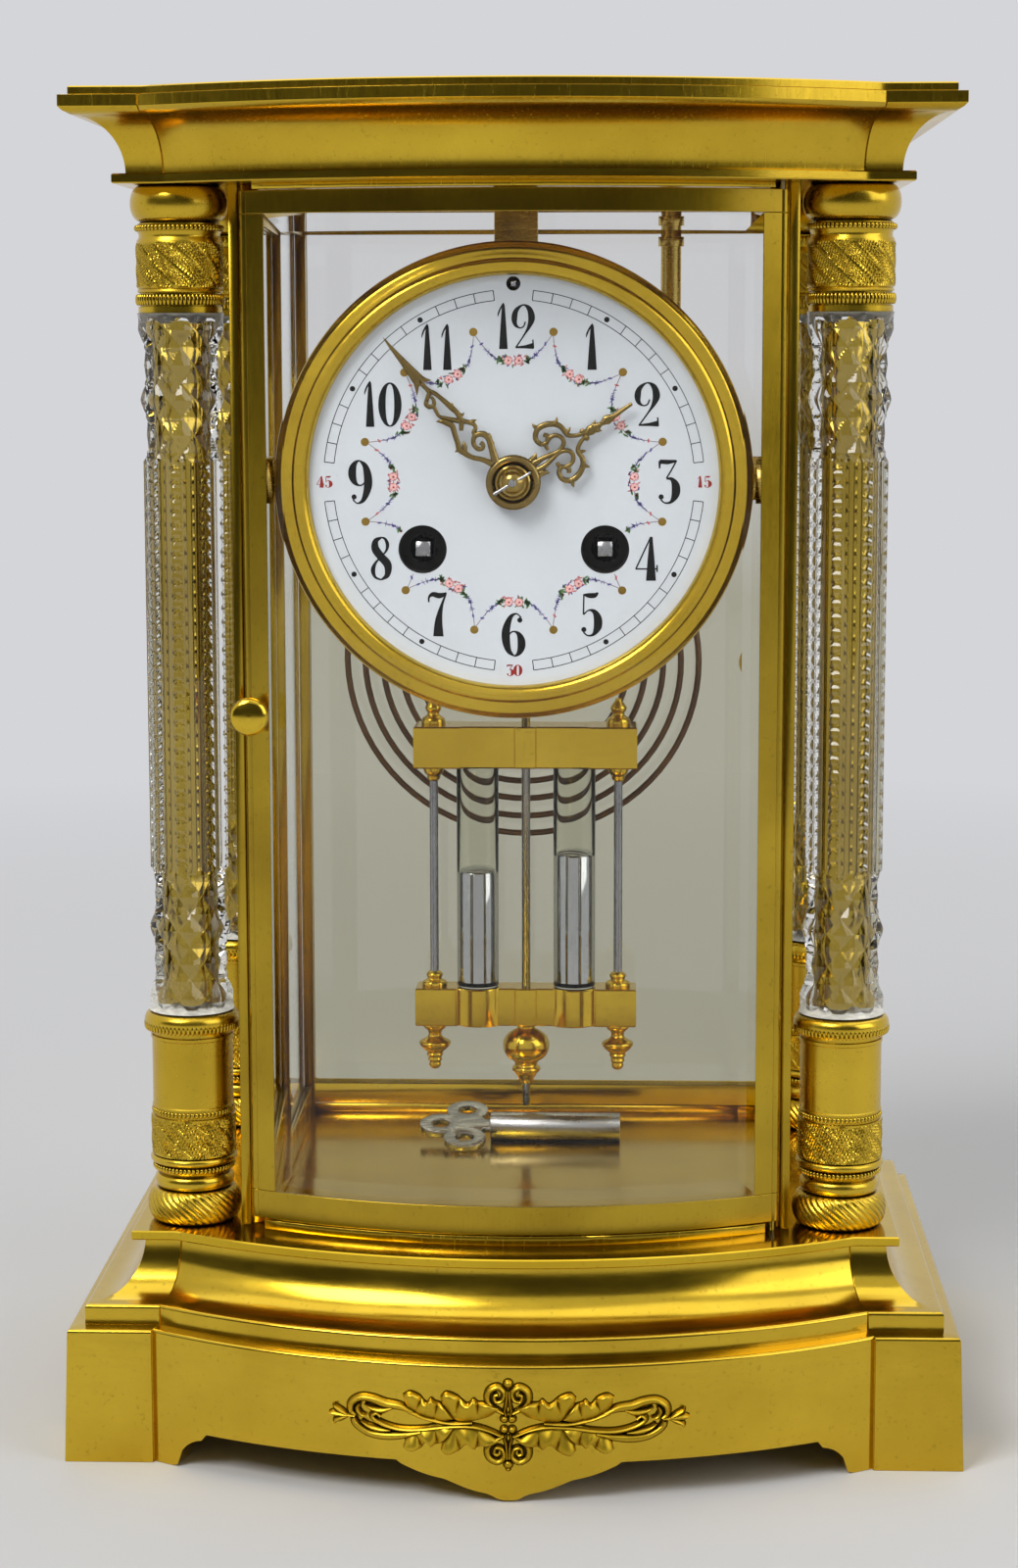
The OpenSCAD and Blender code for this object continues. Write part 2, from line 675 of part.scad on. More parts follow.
module column_capitals() {
    h = capital_h;
    color(brass) at_columns() translate([0, 0, ceiling_z - h]) rotate_extrude() polygon(concat(
        [[0, 0], [band_r - 0.3, 0], [band_r - 0.3, h * 0.035]],
        bulge(band_r - 0.2, h * 0.04, h * 0.21, 1, 5),
        [[band_r, h * 0.215], [band_r, h * 0.595]],
        bulge(band_r - 0.2, h * 0.6, h * 0.7, 0.7, 4),
        [[band_r - 1.2, h * 0.705]],
        bulge(band_r - 1.2, h * 0.715, h, 2.2, 6),
        [[0, h]]));
}

// cut-glass shaft: fluted between two zones of diamond facets
facets = 16;
function cut_ring(z, out, phase) =
    [for (i = [0:facets - 1]) let (r = out - ((i + phase) % 2) * cut_depth, a = 360 * i / facets)
        [r * cos(a), r * sin(a), z]];
shaft_h = case_h - base_h - capital_h;
shaft_rings = concat(
    [for (k = [0:6]) cut_ring(diamond_h * k / 6, diamond_r, k)],
    [cut_ring(diamond_h + 3, flute_r, 0), cut_ring(shaft_h - diamond_h - 3, flute_r, 0)],
    [for (k = [0:6]) cut_ring(shaft_h - diamond_h * (1 - k / 6), diamond_r, k)]);
module column_shaft(i, j) {
    m = len(shaft_rings);
    color(crystal) translate([i * column_x, column_ys[j], floor_z + base_h]) polyhedron(
        points = [for (r = shaft_rings) each r],
        faces = concat(
            [for (k = [0:m - 2], i = [0:facets - 1])
                let (a = k * facets + i, b = k * facets + (i + 1) % facets, c = b + facets, d = a + facets)
                each ((i + k) % 2 == 0 ? [[a, c, b], [a, d, c]] : [[a, d, b], [b, d, c]])],
            [[for (i = [0:facets - 1]) i], [for (i = [facets - 1:-1:0]) (m - 1) * facets + i]]),
        convexity = 6);
}
module column_shaft_front_left() { column_shaft(-1, 0); }
module column_shaft_front_right() { column_shaft(1, 0); }
module column_shaft_back_left() { column_shaft(-1, 1); }
module column_shaft_back_right() { column_shaft(1, 1); }

// dial, bezel and movement bracket
dial_z = ceiling_z - dial_drop;
dial_y = door_y + dial_setback;
centre = [0, dial_z];
going_at = [wind_x, dial_z - wind_drop];
strike_at = [-wind_x, dial_z - wind_drop];
regulator_at = [0, dial_z + regulator_up];
bracket_t = 3;
drum_r = bezel_r - 2;
drum_wall = 1.5;
bracket_y = dial_y + drum_d;
plate_front = bracket_y + bracket_t;
inner_front = plate_front + frame_t;
inner_back = inner_front + frame_gap;
plate_back = inner_back + frame_t;
square_tip = dial_y + dial_t + 0.3;
regulator_r = 0.8;

module bezel() {
    color(gilt) turned_y(centre, dial_y) polygon([
        [enamel_r, -0.1], [enamel_r + 0.4, -2.2], [enamel_r + 2, -2.8], [enamel_r + 3.6, -2.4],
        [enamel_r + 4, -1.6], [bezel_r - 1.6, -1.2], [bezel_r - 0.6, -0.4], [bezel_r, 0.8],
        [bezel_r, 3], [drum_r, 4], [drum_r, drum_d],
        [drum_r - drum_wall, drum_d], [drum_r - drum_wall, -0.1]]);
}
module dial() {
    color("ivory") difference() {
        rod_y(centre, dial_y, dial_y + dial_t, drum_r - drum_wall - seat);
        rod_y(centre, dial_y - 1, dial_y + dial_t + 1, hour_pipe_r + 0.6);
        for (p = [going_at, strike_at]) rod_y(p, dial_y - 1, dial_y + dial_t + 1, wind_hole_r);
        rod_y(regulator_at, dial_y - 1, dial_y + dial_t + 1, 2 * regulator_r);
    }
}
module movement_bracket() {
    inside = fit_x(post_inside);
    stop = fit_y(front_stop);
    top = fit_z(ceiling_z);
    ear_h = 10;
    color(brass) {
        difference() {
            upright(bracket_y, bracket_t) {
                translate(centre) circle(r = drum_r + 1);
                translate([-inside, dial_z - ear_h / 2]) square([2 * inside, ear_h]);
                translate([-ear_h / 2, dial_z]) square([ear_h, top - dial_z]);
            }
            rod_y(centre, bracket_y - 1, plate_front + 1, frame_r - 5);
            rod_y(regulator_at, bracket_y - 1, plate_front + 1, regulator_r + run);
        }
        translate([-ear_h / 2, bracket_y - 6, top - 2]) cube([ear_h, 6 + bracket_t, 2]);
        for (s = [-1, 1]) translate([s * (inside - strap_t / 2) - strap_t / 2, stop, dial_z - ear_h / 2])
            cube([strap_t, plate_front - stop, ear_h]);
    }
}

// wheels
tooth_up = 0.75;
tooth_down = 1.05;
function gear_distance(n1, n2, m) = m * (n1 + n2) / 2;
function polar(p, d, a) = [p[0] + d * cos(a), p[1] + d * sin(a)];
function angle_to(p, q) = atan2(q[1] - p[1], q[0] - p[0]);
function meet(p, q, rp, rq) =
    let (d = norm(q - p), a = (rp * rp - rq * rq + d * d) / (2 * d),
         h = sqrt(rp * rp - a * a), u = (q - p) / d)
    p + a * u + h * [-u[1], u[0]];

module gear_2d(n, m, turn) {
    outer = n * m / 2 + tooth_up * m;
    root = root_r(n, m);
    tooth = [[root, -0.29], [outer, -0.11], [outer, 0.11], [root, 0.29]];
    rotate(turn) polygon([for (i = [0:n - 1], k = tooth)
        let (a = (i + k[1]) * 360 / n) [k[0] * cos(a), k[0] * sin(a)]]);
}
module crossed_2d(n, m, turn) {
    rim = n * m / 2 - 2.6 * m - 0.8;
    difference() {
        gear_2d(n, m, turn);
        circle(r = rim);
    }
    circle(r = 2.4);
    for (a = [0:72:288]) rotate(a) translate([0, -0.6]) square([rim + 0.4, 1.2]);
}
// wheel whose tooth, or pinion whose gap, lies on the line to its partner
module wheel_at(p, q, n, m, y, t) {
    upright(y, t) translate(p) crossed_2d(n, m, angle_to(p, q));
}
module pinion_at(p, q, n, m, y, t) {
    upright(y, t) translate(p) gear_2d(n, m, angle_to(p, q) + 180 / n);
}
function root_r(n, m) = n * m / 2 - tooth_down * m;
module arbor(p, n, m) {
    rod_y(p, inner_front + 0.2, inner_back - 0.2, min(arbor_r, root_r(n, m)));
    rod_y(p, plate_front, plate_back, pivot_r);
}

great_n = 78;
second_pinion_n = 10;
second_n = 72;
centre_pinion_n = 12;
centre_n = 72;
third_pinion_n = 6;
third_n = 78;
escape_pinion_n = 6;
escape_n = 30;
pin_n = 60;
warning_pinion_n = 6;
warning_n = 48;
fly_pinion_n = 6;
cannon_n = 12;
minute_n = 36;
minute_pinion_n = 10;
hour_n = 40;
pin_m = great_m;
warning_m = third_m;
minute_m = 0.5;
wheel_t = 1.4;

second_at = meet(centre, going_at, gear_distance(second_n, centre_pinion_n, great_m),
                 gear_distance(great_n, second_pinion_n, great_m));
third_at = polar(centre, gear_distance(centre_n, third_pinion_n, centre_m), 104.5);
escape_span = gear_distance(third_n, escape_pinion_n, third_m);
escape_at = [0, third_at[1] + sqrt(pow(escape_span, 2) - pow(third_at[0], 2))];
pin_at = polar(strike_at, gear_distance(great_n, second_pinion_n, great_m), 109.3);
warning_at = polar(pin_at, gear_distance(pin_n, warning_pinion_n, pin_m), 62.9);
fly_at = polar(warning_at, gear_distance(warning_n, fly_pinion_n, warning_m), 112.9);
minute_at_stud = polar(centre, gear_distance(cannon_n, minute_n, minute_m), 45);
hour_m = 2 * gear_distance(cannon_n, minute_n, minute_m) / (hour_n + minute_pinion_n);
pivot_at = [0, dial_z + 39];
hammer_at = [centre[0] - 37, centre[1] - 8];

great_y = inner_front + 20.5;
second_y = inner_front + 24.5;
centre_y = inner_front + 28.5;
third_y = inner_front + 15.5;
escape_y = inner_front + 31.5;
warning_y = inner_front + 9.5;
barrel_y = inner_front + 3.5;
winding_r = wind_square / sqrt(2) + 0.05;
cannon_r = 1.9;
centre_r = 1.2;
hour_pipe_r = 2.7;
cannon_y = plate_front - 9;
hour_y = plate_front - 14.5;
hour_hand_y = dial_y - 2.4;
minute_hand_y = hour_hand_y - 1.9;
close = 0.02;

module frame_disc(y) {
    rod_y(centre, y, y + frame_t, frame_r);
}
module frame_holes(y, list, r) {
    for (p = list) rod_y(p, y - 1, y + frame_t + 1, r + run);
}
pivots = [second_at, third_at, escape_at, pin_at, warning_at, fly_at];
module front_plate() {
    color(brass) {
        difference() {
            frame_disc(plate_front);
            frame_holes(plate_front, concat(pivots, [hammer_at, pivot_at]), pivot_r);
            frame_holes(plate_front, [centre], centre_r);
            frame_holes(plate_front, [going_at, strike_at], winding_r);
        }
        rod_y(minute_at_stud, hour_y - 1, plate_front + 0.5, arbor_r);
        for (p = [going_at, strike_at]) {
            upright(plate_front - 1.6, 1.6) translate(polar(p, ratchet_r + 2.2, 90)) rotate(205) {
                circle(r = 1.6);
                translate([0, -0.6]) square([6, 1.2]);
            }
        }
    }
}
module back_plate() {
    color(brass) difference() {
        frame_disc(inner_back);
        frame_holes(inner_back, pivots, pivot_r);
        frame_holes(inner_back, [centre], pivot_r);
        frame_holes(inner_back, [going_at, strike_at], winding_r - 0.8);
        frame_holes(inner_back, [pivot_at], 2 * arbor_r);
        frame_holes(inner_back, [hammer_at], arbor_r);
    }
}
module plate_pillars() {
    color(brass) for (a = [35, 148, -68, -112]) {
        p = polar(centre, frame_r - 5.6, a);
        translate([p[0], inner_front, p[1]]) rotate([-90, 0, 0]) rotate_extrude() polygon([
            [0, 0], [pillar_r, 0], [pillar_r, 3], [pillar_r * 0.75, 4], [pillar_r * 0.6, 5],
            [pillar_r * 0.8, frame_gap / 2], [pillar_r * 0.6, frame_gap - 5],
            [pillar_r * 0.75, frame_gap - 4],
            [pillar_r, frame_gap - 3], [pillar_r, frame_gap], [0, frame_gap]]);
    }
}

// going side
ratchet_r = 6.4;
module winding_arbor(p) {
    upright(square_tip, plate_front - 2 - square_tip) translate(p) square(wind_square, center = true);
    rod_y(p, plate_front - 2.4, barrel_y + barrel_l + 1, winding_r);
    rod_y(p, barrel_y + barrel_l, plate_back, winding_r - 0.8);
    upright(plate_front - 2.2, 1.5) translate(p) polygon([for (i = [0:13], k = [0, 1])
        let (a = 360 * (i + 0.12 * k) / 14) (ratchet_r - 1.1 * k) * [cos(a), sin(a)]]);
}
module barrel(p, q) {
    difference() {
        union() {
            rod_y(p, barrel_y, barrel_y + barrel_l, barrel_r);
            upright(great_y, 2) translate(p) gear_2d(great_n, great_m, angle_to(p, q));
        }
        rod_y(p, barrel_y - 1, barrel_y + barrel_l + 1, winding_r + run);
    }
}
module going_barrel() { color(brass) barrel(going_at, second_at); }
module going_arbor() { color(steel) winding_arbor(going_at); }
module strike_barrel() { color(brass) barrel(strike_at, pin_at); }
module strike_arbor() { color(steel) winding_arbor(strike_at); }
module second_wheel() {
    color(brass) {
        arbor(second_at, second_pinion_n, great_m);
        pinion_at(second_at, going_at, second_pinion_n, great_m, great_y - 0.5, 3);
        wheel_at(second_at, centre, second_n, great_m, second_y, wheel_t);
    }
}
module centre_wheel() {
    color(brass) {
        rod_y(centre, minute_hand_y - 2.2, inner_back - 0.2, centre_r);
        rod_y(centre, inner_back - 0.4, plate_back, pivot_r);
        pinion_at(centre, second_at, centre_pinion_n, great_m, second_y - 0.5, wheel_t + 1);
        wheel_at(centre, third_at, centre_n, centre_m, centre_y, wheel_t);
    }
}
module third_wheel() {
    color(brass) {
        arbor(third_at, third_pinion_n, centre_m);
        pinion_at(third_at, centre, third_pinion_n, centre_m, centre_y - 0.5, wheel_t + 1);
        wheel_at(third_at, escape_at, third_n, third_m, third_y, wheel_t);
    }
}
module escape_wheel() {
    color(brass) {
        arbor(escape_at, escape_pinion_n, third_m);
        pinion_at(escape_at, third_at, escape_pinion_n, third_m, third_y - 0.5, wheel_t + 1);
        upright(escape_y, wheel_t) translate(escape_at) {
            difference() {
                polygon([for (i = [0:escape_n - 1], k = [[-0.5, 0.84], [0, 0.84], [0.12, 1]])
                    let (a = (i + k[0]) * 360 / escape_n) escape_r * k[1] * [cos(a), sin(a)]]);
                circle(r = escape_r * 0.7);
            }
            circle(r = 2);
            for (a = [0:90:270]) rotate(a) translate([0, -0.5]) square([escape_r * 0.72, 1]);
        }
    }
}

// anchor with its crutch, swinging about the same axis as the pendulum
cock_y = plate_back + 5.5;
cock_t = 2;
crutch_y = cock_y + cock_t + 0.4;
crutch_l = 36;
pendulum_y = plate_back + pendulum_back;
module anchor() {
    span = escape_r + 0.9;
    fork = rod_r + 0.3;
    color(steel) {
        rod_y(pivot_at, plate_front, inner_front + 0.4, pivot_r);
        rod_y(pivot_at, inner_front + 0.2, cock_y - 0.2, arbor_r);
        rod_y(pivot_at, cock_y - 0.4, crutch_y + 1.4, pivot_r);
        upright(escape_y, wheel_t) {
            translate(escape_at) intersection() {
                ring_2d(span + 1.6, 1.6);
                polygon([[0, 0], polar([0, 0], 40, 42), polar([0, 0], 40, 138)]);
            }
            translate([-1.2, escape_at[1] + span + 0.4]) square([2.4, pivot_at[1] - escape_at[1] - span]);
            translate(pivot_at) circle(r = pivot_at[1] - escape_at[1] - escape_r - 0.25);
        }
        upright(crutch_y, 1.4) {
            translate(pivot_at) circle(r = 1.8);
            translate([-0.8, pivot_at[1] - crutch_l]) square([1.6, crutch_l]);
            translate([-fork - 1.2, pivot_at[1] - crutch_l - 1]) square([2 * fork + 2.4, 2.4]);
        }
        for (s = [-1, 1]) translate([s * (fork + 0.6) - 0.6, crutch_y, pivot_at[1] - crutch_l - 1])
            cube([1.2, pendulum_y + rod_r + 1 - crutch_y, 2.4]);
    }
}
module suspension_cock() {
    arm_z = pivot_at[1] + 2.6;
    color(brass) difference() {
        union() {
            translate([-9, plate_back, pivot_at[1] - 8]) cube([18, 2.5, 11]);
            translate([-5, plate_back, arm_z]) cube([10, pendulum_back + 4.5, 5]);
            translate([-5, cock_y, pivot_at[1] - 3]) cube([10, cock_t, 6]);
        }
        rod_y(pivot_at, plate_back - 1, cock_y - 1, 2 * arbor_r + run);
        rod_y(pivot_at, cock_y - 1, cock_y + cock_t + 1, pivot_r + run);
        rod_y(regulator_at, plate_back - 1, plate_back + pendulum_back + 6, regulator_r + run);
    }
}
module regulator_arbor() {
    side = regulator_r * 1.35;
    color(steel) {
        rod_y(regulator_at, bracket_y - 6, plate_back + pendulum_back + 3.5, regulator_r);
        upright(dial_y + 0.4, bracket_y - 6 - dial_y) translate(regulator_at) square(side, center = true);
    }
}

// motion work and hands
module cannon_pinion() {
    color(steel) difference() {
        union() {
            rod_y(centre, minute_hand_y - 0.4, cannon_y + 4, cannon_r);
            pinion_at(centre, minute_at_stud, cannon_n, minute_m, cannon_y, 2.6);
        }
        rod_y(centre, minute_hand_y - 2, cannon_y + 5, centre_r + close);
    }
}
module minute_wheel() {
    color(brass) difference() {
        union() {
            wheel_at(minute_at_stud, centre, minute_n, minute_m, cannon_y + 0.6, wheel_t);
            rod_y(minute_at_stud, hour_y - 0.6, cannon_y + 3, 1.6);
            pinion_at(minute_at_stud, centre, minute_pinion_n, hour_m, hour_y - 0.6, 2.6);
        }
        rod_y(minute_at_stud, hour_y - 2, cannon_y + 4, arbor_r + run);
    }
}
module hour_wheel() {
    color(brass) difference() {
        union() {
            rod_y(centre, hour_hand_y - 0.2, hour_y + wheel_t, hour_pipe_r);
            upright(hour_y, wheel_t) translate(centre)
                gear_2d(hour_n, hour_m, angle_to(centre, minute_at_stud));
        }
        rod_y(centre, hour_hand_y - 1, hour_y + wheel_t + 1, cannon_r + run);
    }
}
module hand_scroll_2d(y, r) {
    for (s = [-1, 1]) translate([s * r * 0.8, y]) ring_2d(r, r * 0.34);
}
module minute_hand() {
    l = minute_l;
    color(gilt) upright(minute_hand_y, hand_t) translate(centre) rotate(-minute_at) difference() {
        union() {
            circle(r = 4.6);
            translate([-0.6, 0]) square([1.2, l * 0.8]);
            hand_scroll_2d(l * 0.24, 2.3);
            hand_scroll_2d(l * 0.36, 1.7);
            translate([0, l * 0.5]) rotate(90) leaf_2d(l * 0.24, 3);
            translate([0, l * 0.72]) rotate(90) leaf_2d(l * 0.28, 1.6);
            translate([0, -2]) rotate(-90) leaf_2d(l * 0.2, 3.4);
        }
        circle(r = cannon_r + close);
    }
}
module hour_hand() {
    l = hour_l;
    color(gilt) upright(hour_hand_y, hand_t) translate(centre) rotate(-hour_at) difference() {
        union() {
            circle(r = 5.4);
            translate([-0.8, 0]) square([1.6, l * 0.8]);
            hand_scroll_2d(l * 0.34, 3);
            hand_scroll_2d(l * 0.54, 2.4);
            translate([0, l * 0.62]) rotate(90) leaf_2d(l * 0.38, 3.4);
        }
        circle(r = hour_pipe_r + close);
    }
}
taper_pin_l = 9;
taper_pin_turn = 30.6;
module hand_nut() {
    y = minute_hand_y - 0.4;
    color(brass) difference() {
        union() {
            turned_y(centre, y) polygon([
                [0, 0], [5.4, 0], [5.2, -0.5], [2.8, -0.8], [2.5, -1.8], [1.4, -2.9], [0, -3.2]]);
            translate([0, y - 1.3, dial_z]) rotate([0, 90 - taper_pin_turn, 0])
                cylinder(h = taper_pin_l, r = 0.45, center = true);
        }
        rod_y(centre, y - 2, y + 1, centre_r + close);
    }
}

// strike side
pin_circle = 9.8;
module pin_wheel() {
    color(brass) {
        arbor(pin_at, second_pinion_n, great_m);
        pinion_at(pin_at, strike_at, second_pinion_n, great_m, great_y - 0.5, 3);
        wheel_at(pin_at, warning_at, pin_n, pin_m, second_y, wheel_t);
        for (a = [0:45:315])
            rod_y(polar(pin_at, pin_circle, a), second_y + 0.2, second_y + wheel_t + 2.2, 0.55);
    }
}
module warning_wheel() {
    color(brass) {
        arbor(warning_at, warning_pinion_n, pin_m);
        pinion_at(warning_at, pin_at, warning_pinion_n, pin_m, second_y - 0.5, wheel_t + 1);
        wheel_at(warning_at, fly_at, warning_n, warning_m, warning_y, wheel_t);
    }
}
module fly() {
    color(brass) {
        arbor(fly_at, fly_pinion_n, warning_m);
        pinion_at(fly_at, warning_at, fly_pinion_n, warning_m, warning_y - 0.5, wheel_t + 1);
        upright(warning_y + 8, 12) translate(fly_at) square([8.4, 0.8], center = true);
    }
}

// gong, its post and the hammer that strikes it
gong_y = plate_back + gong_back;
gong_at = [0, dial_z - gong_drop];
gong_inner = gong_r - gong_pitch * gong_loops;
gong_steps = 24 * gong_loops;
function gong_angle(i) = 90 + 360 * i / 24;
function gong_radius(i) = gong_inner + gong_pitch * i / 24;
gong_curve = [for (i = [0:gong_steps]) polar(gong_at, gong_radius(i), gong_angle(i))];
gong_lead = 2 * gong_wire_r;
gong_path = concat([gong_curve[0] + [2 * gong_lead, 0], gong_curve[0] + [gong_lead / 2, 0]], gong_curve);
gong_self_gap = min([for (i = [0:gong_steps - 12], j = [i + 12:gong_steps])
    norm(gong_curve[i] - gong_curve[j])]) - 2 * gong_wire_r;
echo(gong_least_gap = gong_self_gap);
module gong_coil() {
    n = len(gong_path);
    sides = 6;
    along = [for (i = [0:n - 1]) gong_path[min(i + 1, n - 1)] - gong_path[max(i - 1, 0)]];
    points = [for (i = [0:n - 1], k = [0:sides - 1])
        let (t = along[i] / norm(along[i]), a = 360 * k / sides,
             u = gong_wire_r * cos(a), v = gong_wire_r * sin(a))
        [gong_path[i][0] - t[1] * u, gong_y + v, gong_path[i][1] + t[0] * u]];
    color("saddlebrown") polyhedron(
        points = points,
        faces = concat(
            [for (i = [0:n - 2], k = [0:sides - 1])
                let (a = i * sides + k, b = i * sides + (k + 1) % sides, c = b + sides, d = a + sides)
                each [[a, c, b], [a, d, c]]],
            [for (k = [1:sides - 2]) each [[0, k, k + 1],
                [(n - 1) * sides, (n - 1) * sides + k + 1, (n - 1) * sides + k]]]),
        convexity = 12);
}
module gong_post() {
    post_y = gong_y + gong_wire_r + gong_post_r + 1.6;
    block_x = gong_path[0][0] + 0.1;
    arm_z = gong_path[0][1];
    top = fit_z(ceiling_z);
    block_z = arm_z - 4;
    block_h = arm_z + gong_wire_r + 0.6 - block_z;
    color(brass) {
        translate([gong_post_x, post_y, block_z]) cylinder(h = top - block_z, r = gong_post_r);
        translate([gong_post_x, post_y, top - 11]) cylinder(h = 2.4, r = gong_post_r + 0.7);
        translate([block_x, post_y - 1.5, block_z]) cube([gong_post_x - block_x, 3, block_h]);
        translate([block_x, gong_y - 3.5, block_z]) cube([6, post_y - gong_y + 5, block_h]);
    }
}
hammer_angle = 150;
hammer_head_l = 6;
module hammer() {
    tip = gong_r + gong_wire_r + 0.5;
    head = polar(gong_at, tip + hammer_head_l / 2, hammer_angle);
    tail_a = angle_to(hammer_at, pin_at);
    tail_l = norm(pin_at - hammer_at) - pin_circle - 1.2;
    color(steel) {
        rod_y(hammer_at, plate_front, inner_front + 0.4, pivot_r);
        rod_y(hammer_at, inner_front + 0.2, gong_y - 1.5, arbor_r);
        upright(second_y + wheel_t + 0.6, 1.4) translate(hammer_at) {
            circle(r = 1.8);
            rotate(tail_a) translate([0, -0.7]) square([tail_l, 1.4]);
        }
        upright(gong_y - 5, 2.4) {
            translate(hammer_at) circle(r = 2);
            translate(hammer_at) rotate(angle_to(hammer_at, head)) translate([0, -0.9])
                square([norm(head - hammer_at), 1.8]);
            translate(head) circle(r = 2);
        }
        rod_y(head, gong_y - 3, gong_y + 1, 1.2);
        translate([head[0], gong_y, head[1]]) rotate([0, 90 - hammer_angle, 0])
            cylinder(h = hammer_head_l, r = 2.6, center = true);
    }
}

// pendulum
bob_top = pivot_at[1] - bob_drop;
upper_z = bob_top - upper_block_h;
lower_top = upper_z - jar_h;
lower_z = lower_top - lower_block_h;
nut_z = lower_z - nut_h - 0.3;
spring_l = 14;
hook_h = 7;
block_d = 2 * jar_r + 1.6;
module pendulum_rod() {
    spring_top = pivot_at[1] + 2.3;
    hook_z = pivot_at[1] - spring_l;
    color(steel) {
        translate([-0.2, pendulum_y - 3.5, hook_z - 1]) cube([0.4, 7, spring_top - hook_z + 1]);
        translate([-1.8, pendulum_y - 4, hook_z - hook_h]) cube([3.6, 8, hook_h]);
        translate([0, pendulum_y, nut_z - thread_l])
            cylinder(h = hook_z - hook_h / 2 - nut_z + thread_l, r = rod_r);
    }
}
module finial(up, h, r) {
    mirror([0, 0, up ? 0 : 1]) rotate_extrude() polygon([
        [0, -0.4], [r * 0.72, -0.4], [r * 0.72, h * 0.08], [r * 0.45, h * 0.17], [r * 0.5, h * 0.27],
        [r, h * 0.42], [r, h * 0.48], [r * 0.5, h * 0.66], [r * 0.42, h * 0.73], [r * 0.45, h * 0.82],
        [r * 0.3, h * 0.96], [0, h]]);
}
module collar(x, z, h, r0, r1) {
    translate([x, pendulum_y, z]) cylinder(h = h, r1 = r0, r2 = r1);
}
module block_2d(depth, end_w, end_d) {
    translate([0, pendulum_y]) {
        square([2 * bob_w - 2, depth], center = true);
        for (s = [-1, 1]) translate([s * (bob_w - end_w / 2), 0]) square([end_w, end_d], center = true);
    }
}
module lower_block_2d() {
    block_2d(block_d * 0.68, 10.6, block_d * 0.8);
    translate([0, pendulum_y]) {
        for (x = [-jar_x, jar_x]) translate([x, 0]) circle(r = block_d / 2 + 0.4);
        square([5.4, block_d * 0.76], center = true);
    }
}
module pendulum_frame() {
    bore = rod_r + close;
    color(gilt) difference() {
        union() {
            translate([0, 0, upper_z]) linear_extrude(upper_block_h) block_2d(block_d - 1, 12, block_d + 1);
            translate([0, 0, lower_z]) linear_extrude(lower_block_h) lower_block_2d();
            for (x = [-side_rod_x, side_rod_x]) {
                translate([x, pendulum_y, lower_top - 1]) cylinder(h = upper_z - lower_top + 2, r = rod_r);
                translate([x, pendulum_y, lower_z]) finial(false, 12.4, 4.1);
                translate([x, pendulum_y, bob_top]) finial(true, 7, 3.1);
                collar(x, lower_top - 0.2, 2.6, 3.2, 1.7);
                collar(x, upper_z - 3.6, 3.8, 1.5, 2.6);
            }
        }
        translate([0, pendulum_y, lower_z - 1]) cylinder(h = bob_top - lower_z + 2, r = bore);
    }
}
module mercury_jars() {
    color(crystal) for (x = [-jar_x, jar_x]) translate([x, pendulum_y, lower_top]) difference() {
        cylinder(h = jar_h, r = jar_r);
        translate([0, 0, 1]) cylinder(h = jar_h, r = jar_r - jar_wall);
    }
}
module mercury() {
    color("silver") for (j = [[-jar_x, mercury_left], [jar_x, mercury_right]])
        translate([j[0], pendulum_y, lower_top + 1]) cylinder(h = j[1], r = jar_r - jar_wall - run);
}
module rating_nut() {
    color(gilt) translate([0, pendulum_y, nut_z]) difference() {
        rotate_extrude() polygon([
            [0, 0], [2, 0], [2.4, nut_h * 0.1], [2, nut_h * 0.2], [3.6, nut_h * 0.3], [2.4, nut_h * 0.4],
            [5.6, nut_h * 0.56], [6.2, nut_h * 0.72], [5.4, nut_h * 0.86], [3.4, nut_h * 0.94],
            [3.4, nut_h], [0, nut_h]]);
        translate([0, 0, -1]) cylinder(h = nut_h + 2, r = rod_r + run);
    }
}

// a case that is made smaller takes a smaller dial, movement, gong and pendulum
strap_t = 3;
fit_gap = 0.4;
needed_w = bezel_r + strap_t;
needed_d = drum_d + bracket_t + 2 * frame_t + frame_gap + gong_back + 2 * (gong_wire_r + gong_post_r) + 1.6;
needed_h = dial_z - nut_z + thread_l;
fit_k = min(1, (post_inside - fit_gap) / needed_w, (back_stop - fit_gap - dial_y) / needed_d,
            (dial_z - floor_z - 2 * key_r) / needed_h);
function fit_x(x) = x / fit_k;
function fit_y(y) = dial_y + (y - dial_y) / fit_k;
function fit_z(z) = dial_z + (z - dial_z) / fit_k;
module fitted() {
    translate([0, dial_y, dial_z]) scale(fit_k) translate([0, -dial_y, -dial_z]) children();
}

// winding key lying on the case floor
module winding_key() {
    lobe = 5.4;
    lobe_out = 8;
    bow_t = 1.6;
    tilt = asin((key_r - bow_t / 2 - 0.1) / (lobe + lobe_out));
    key_y = dial_y + (pendulum_y - dial_y) * fit_k - key_ahead;
    color(steel) translate([-9, key_y, floor_z + key_r + close]) {
        difference() {
            rotate([0, 90, 0]) cylinder(h = key_l, r = key_r);
            translate([key_l - 12, -wind_square / 2 - run, -wind_square / 2 - run])
                cube([13, wind_square + 2 * run, wind_square + 2 * run]);
        }
        rotate([tilt, 0, 0]) translate([0, 0, -bow_t / 2]) linear_extrude(bow_t) difference() {
            union() {
                translate([-12, -2.4]) square([14, 4.8]);
                for (s = [-1, 1]) translate([-6.4, s * lobe_out]) circle(r = lobe);
                translate([-13, 0]) circle(r = lobe);
                translate([-7, 0]) circle(r = lobe_out - 2);
            }
            for (s = [-1, 1]) translate([-6.4, s * lobe_out]) circle(r = lobe * 0.45);
            translate([-13, 0]) circle(r = lobe * 0.45);
        }
    }
}

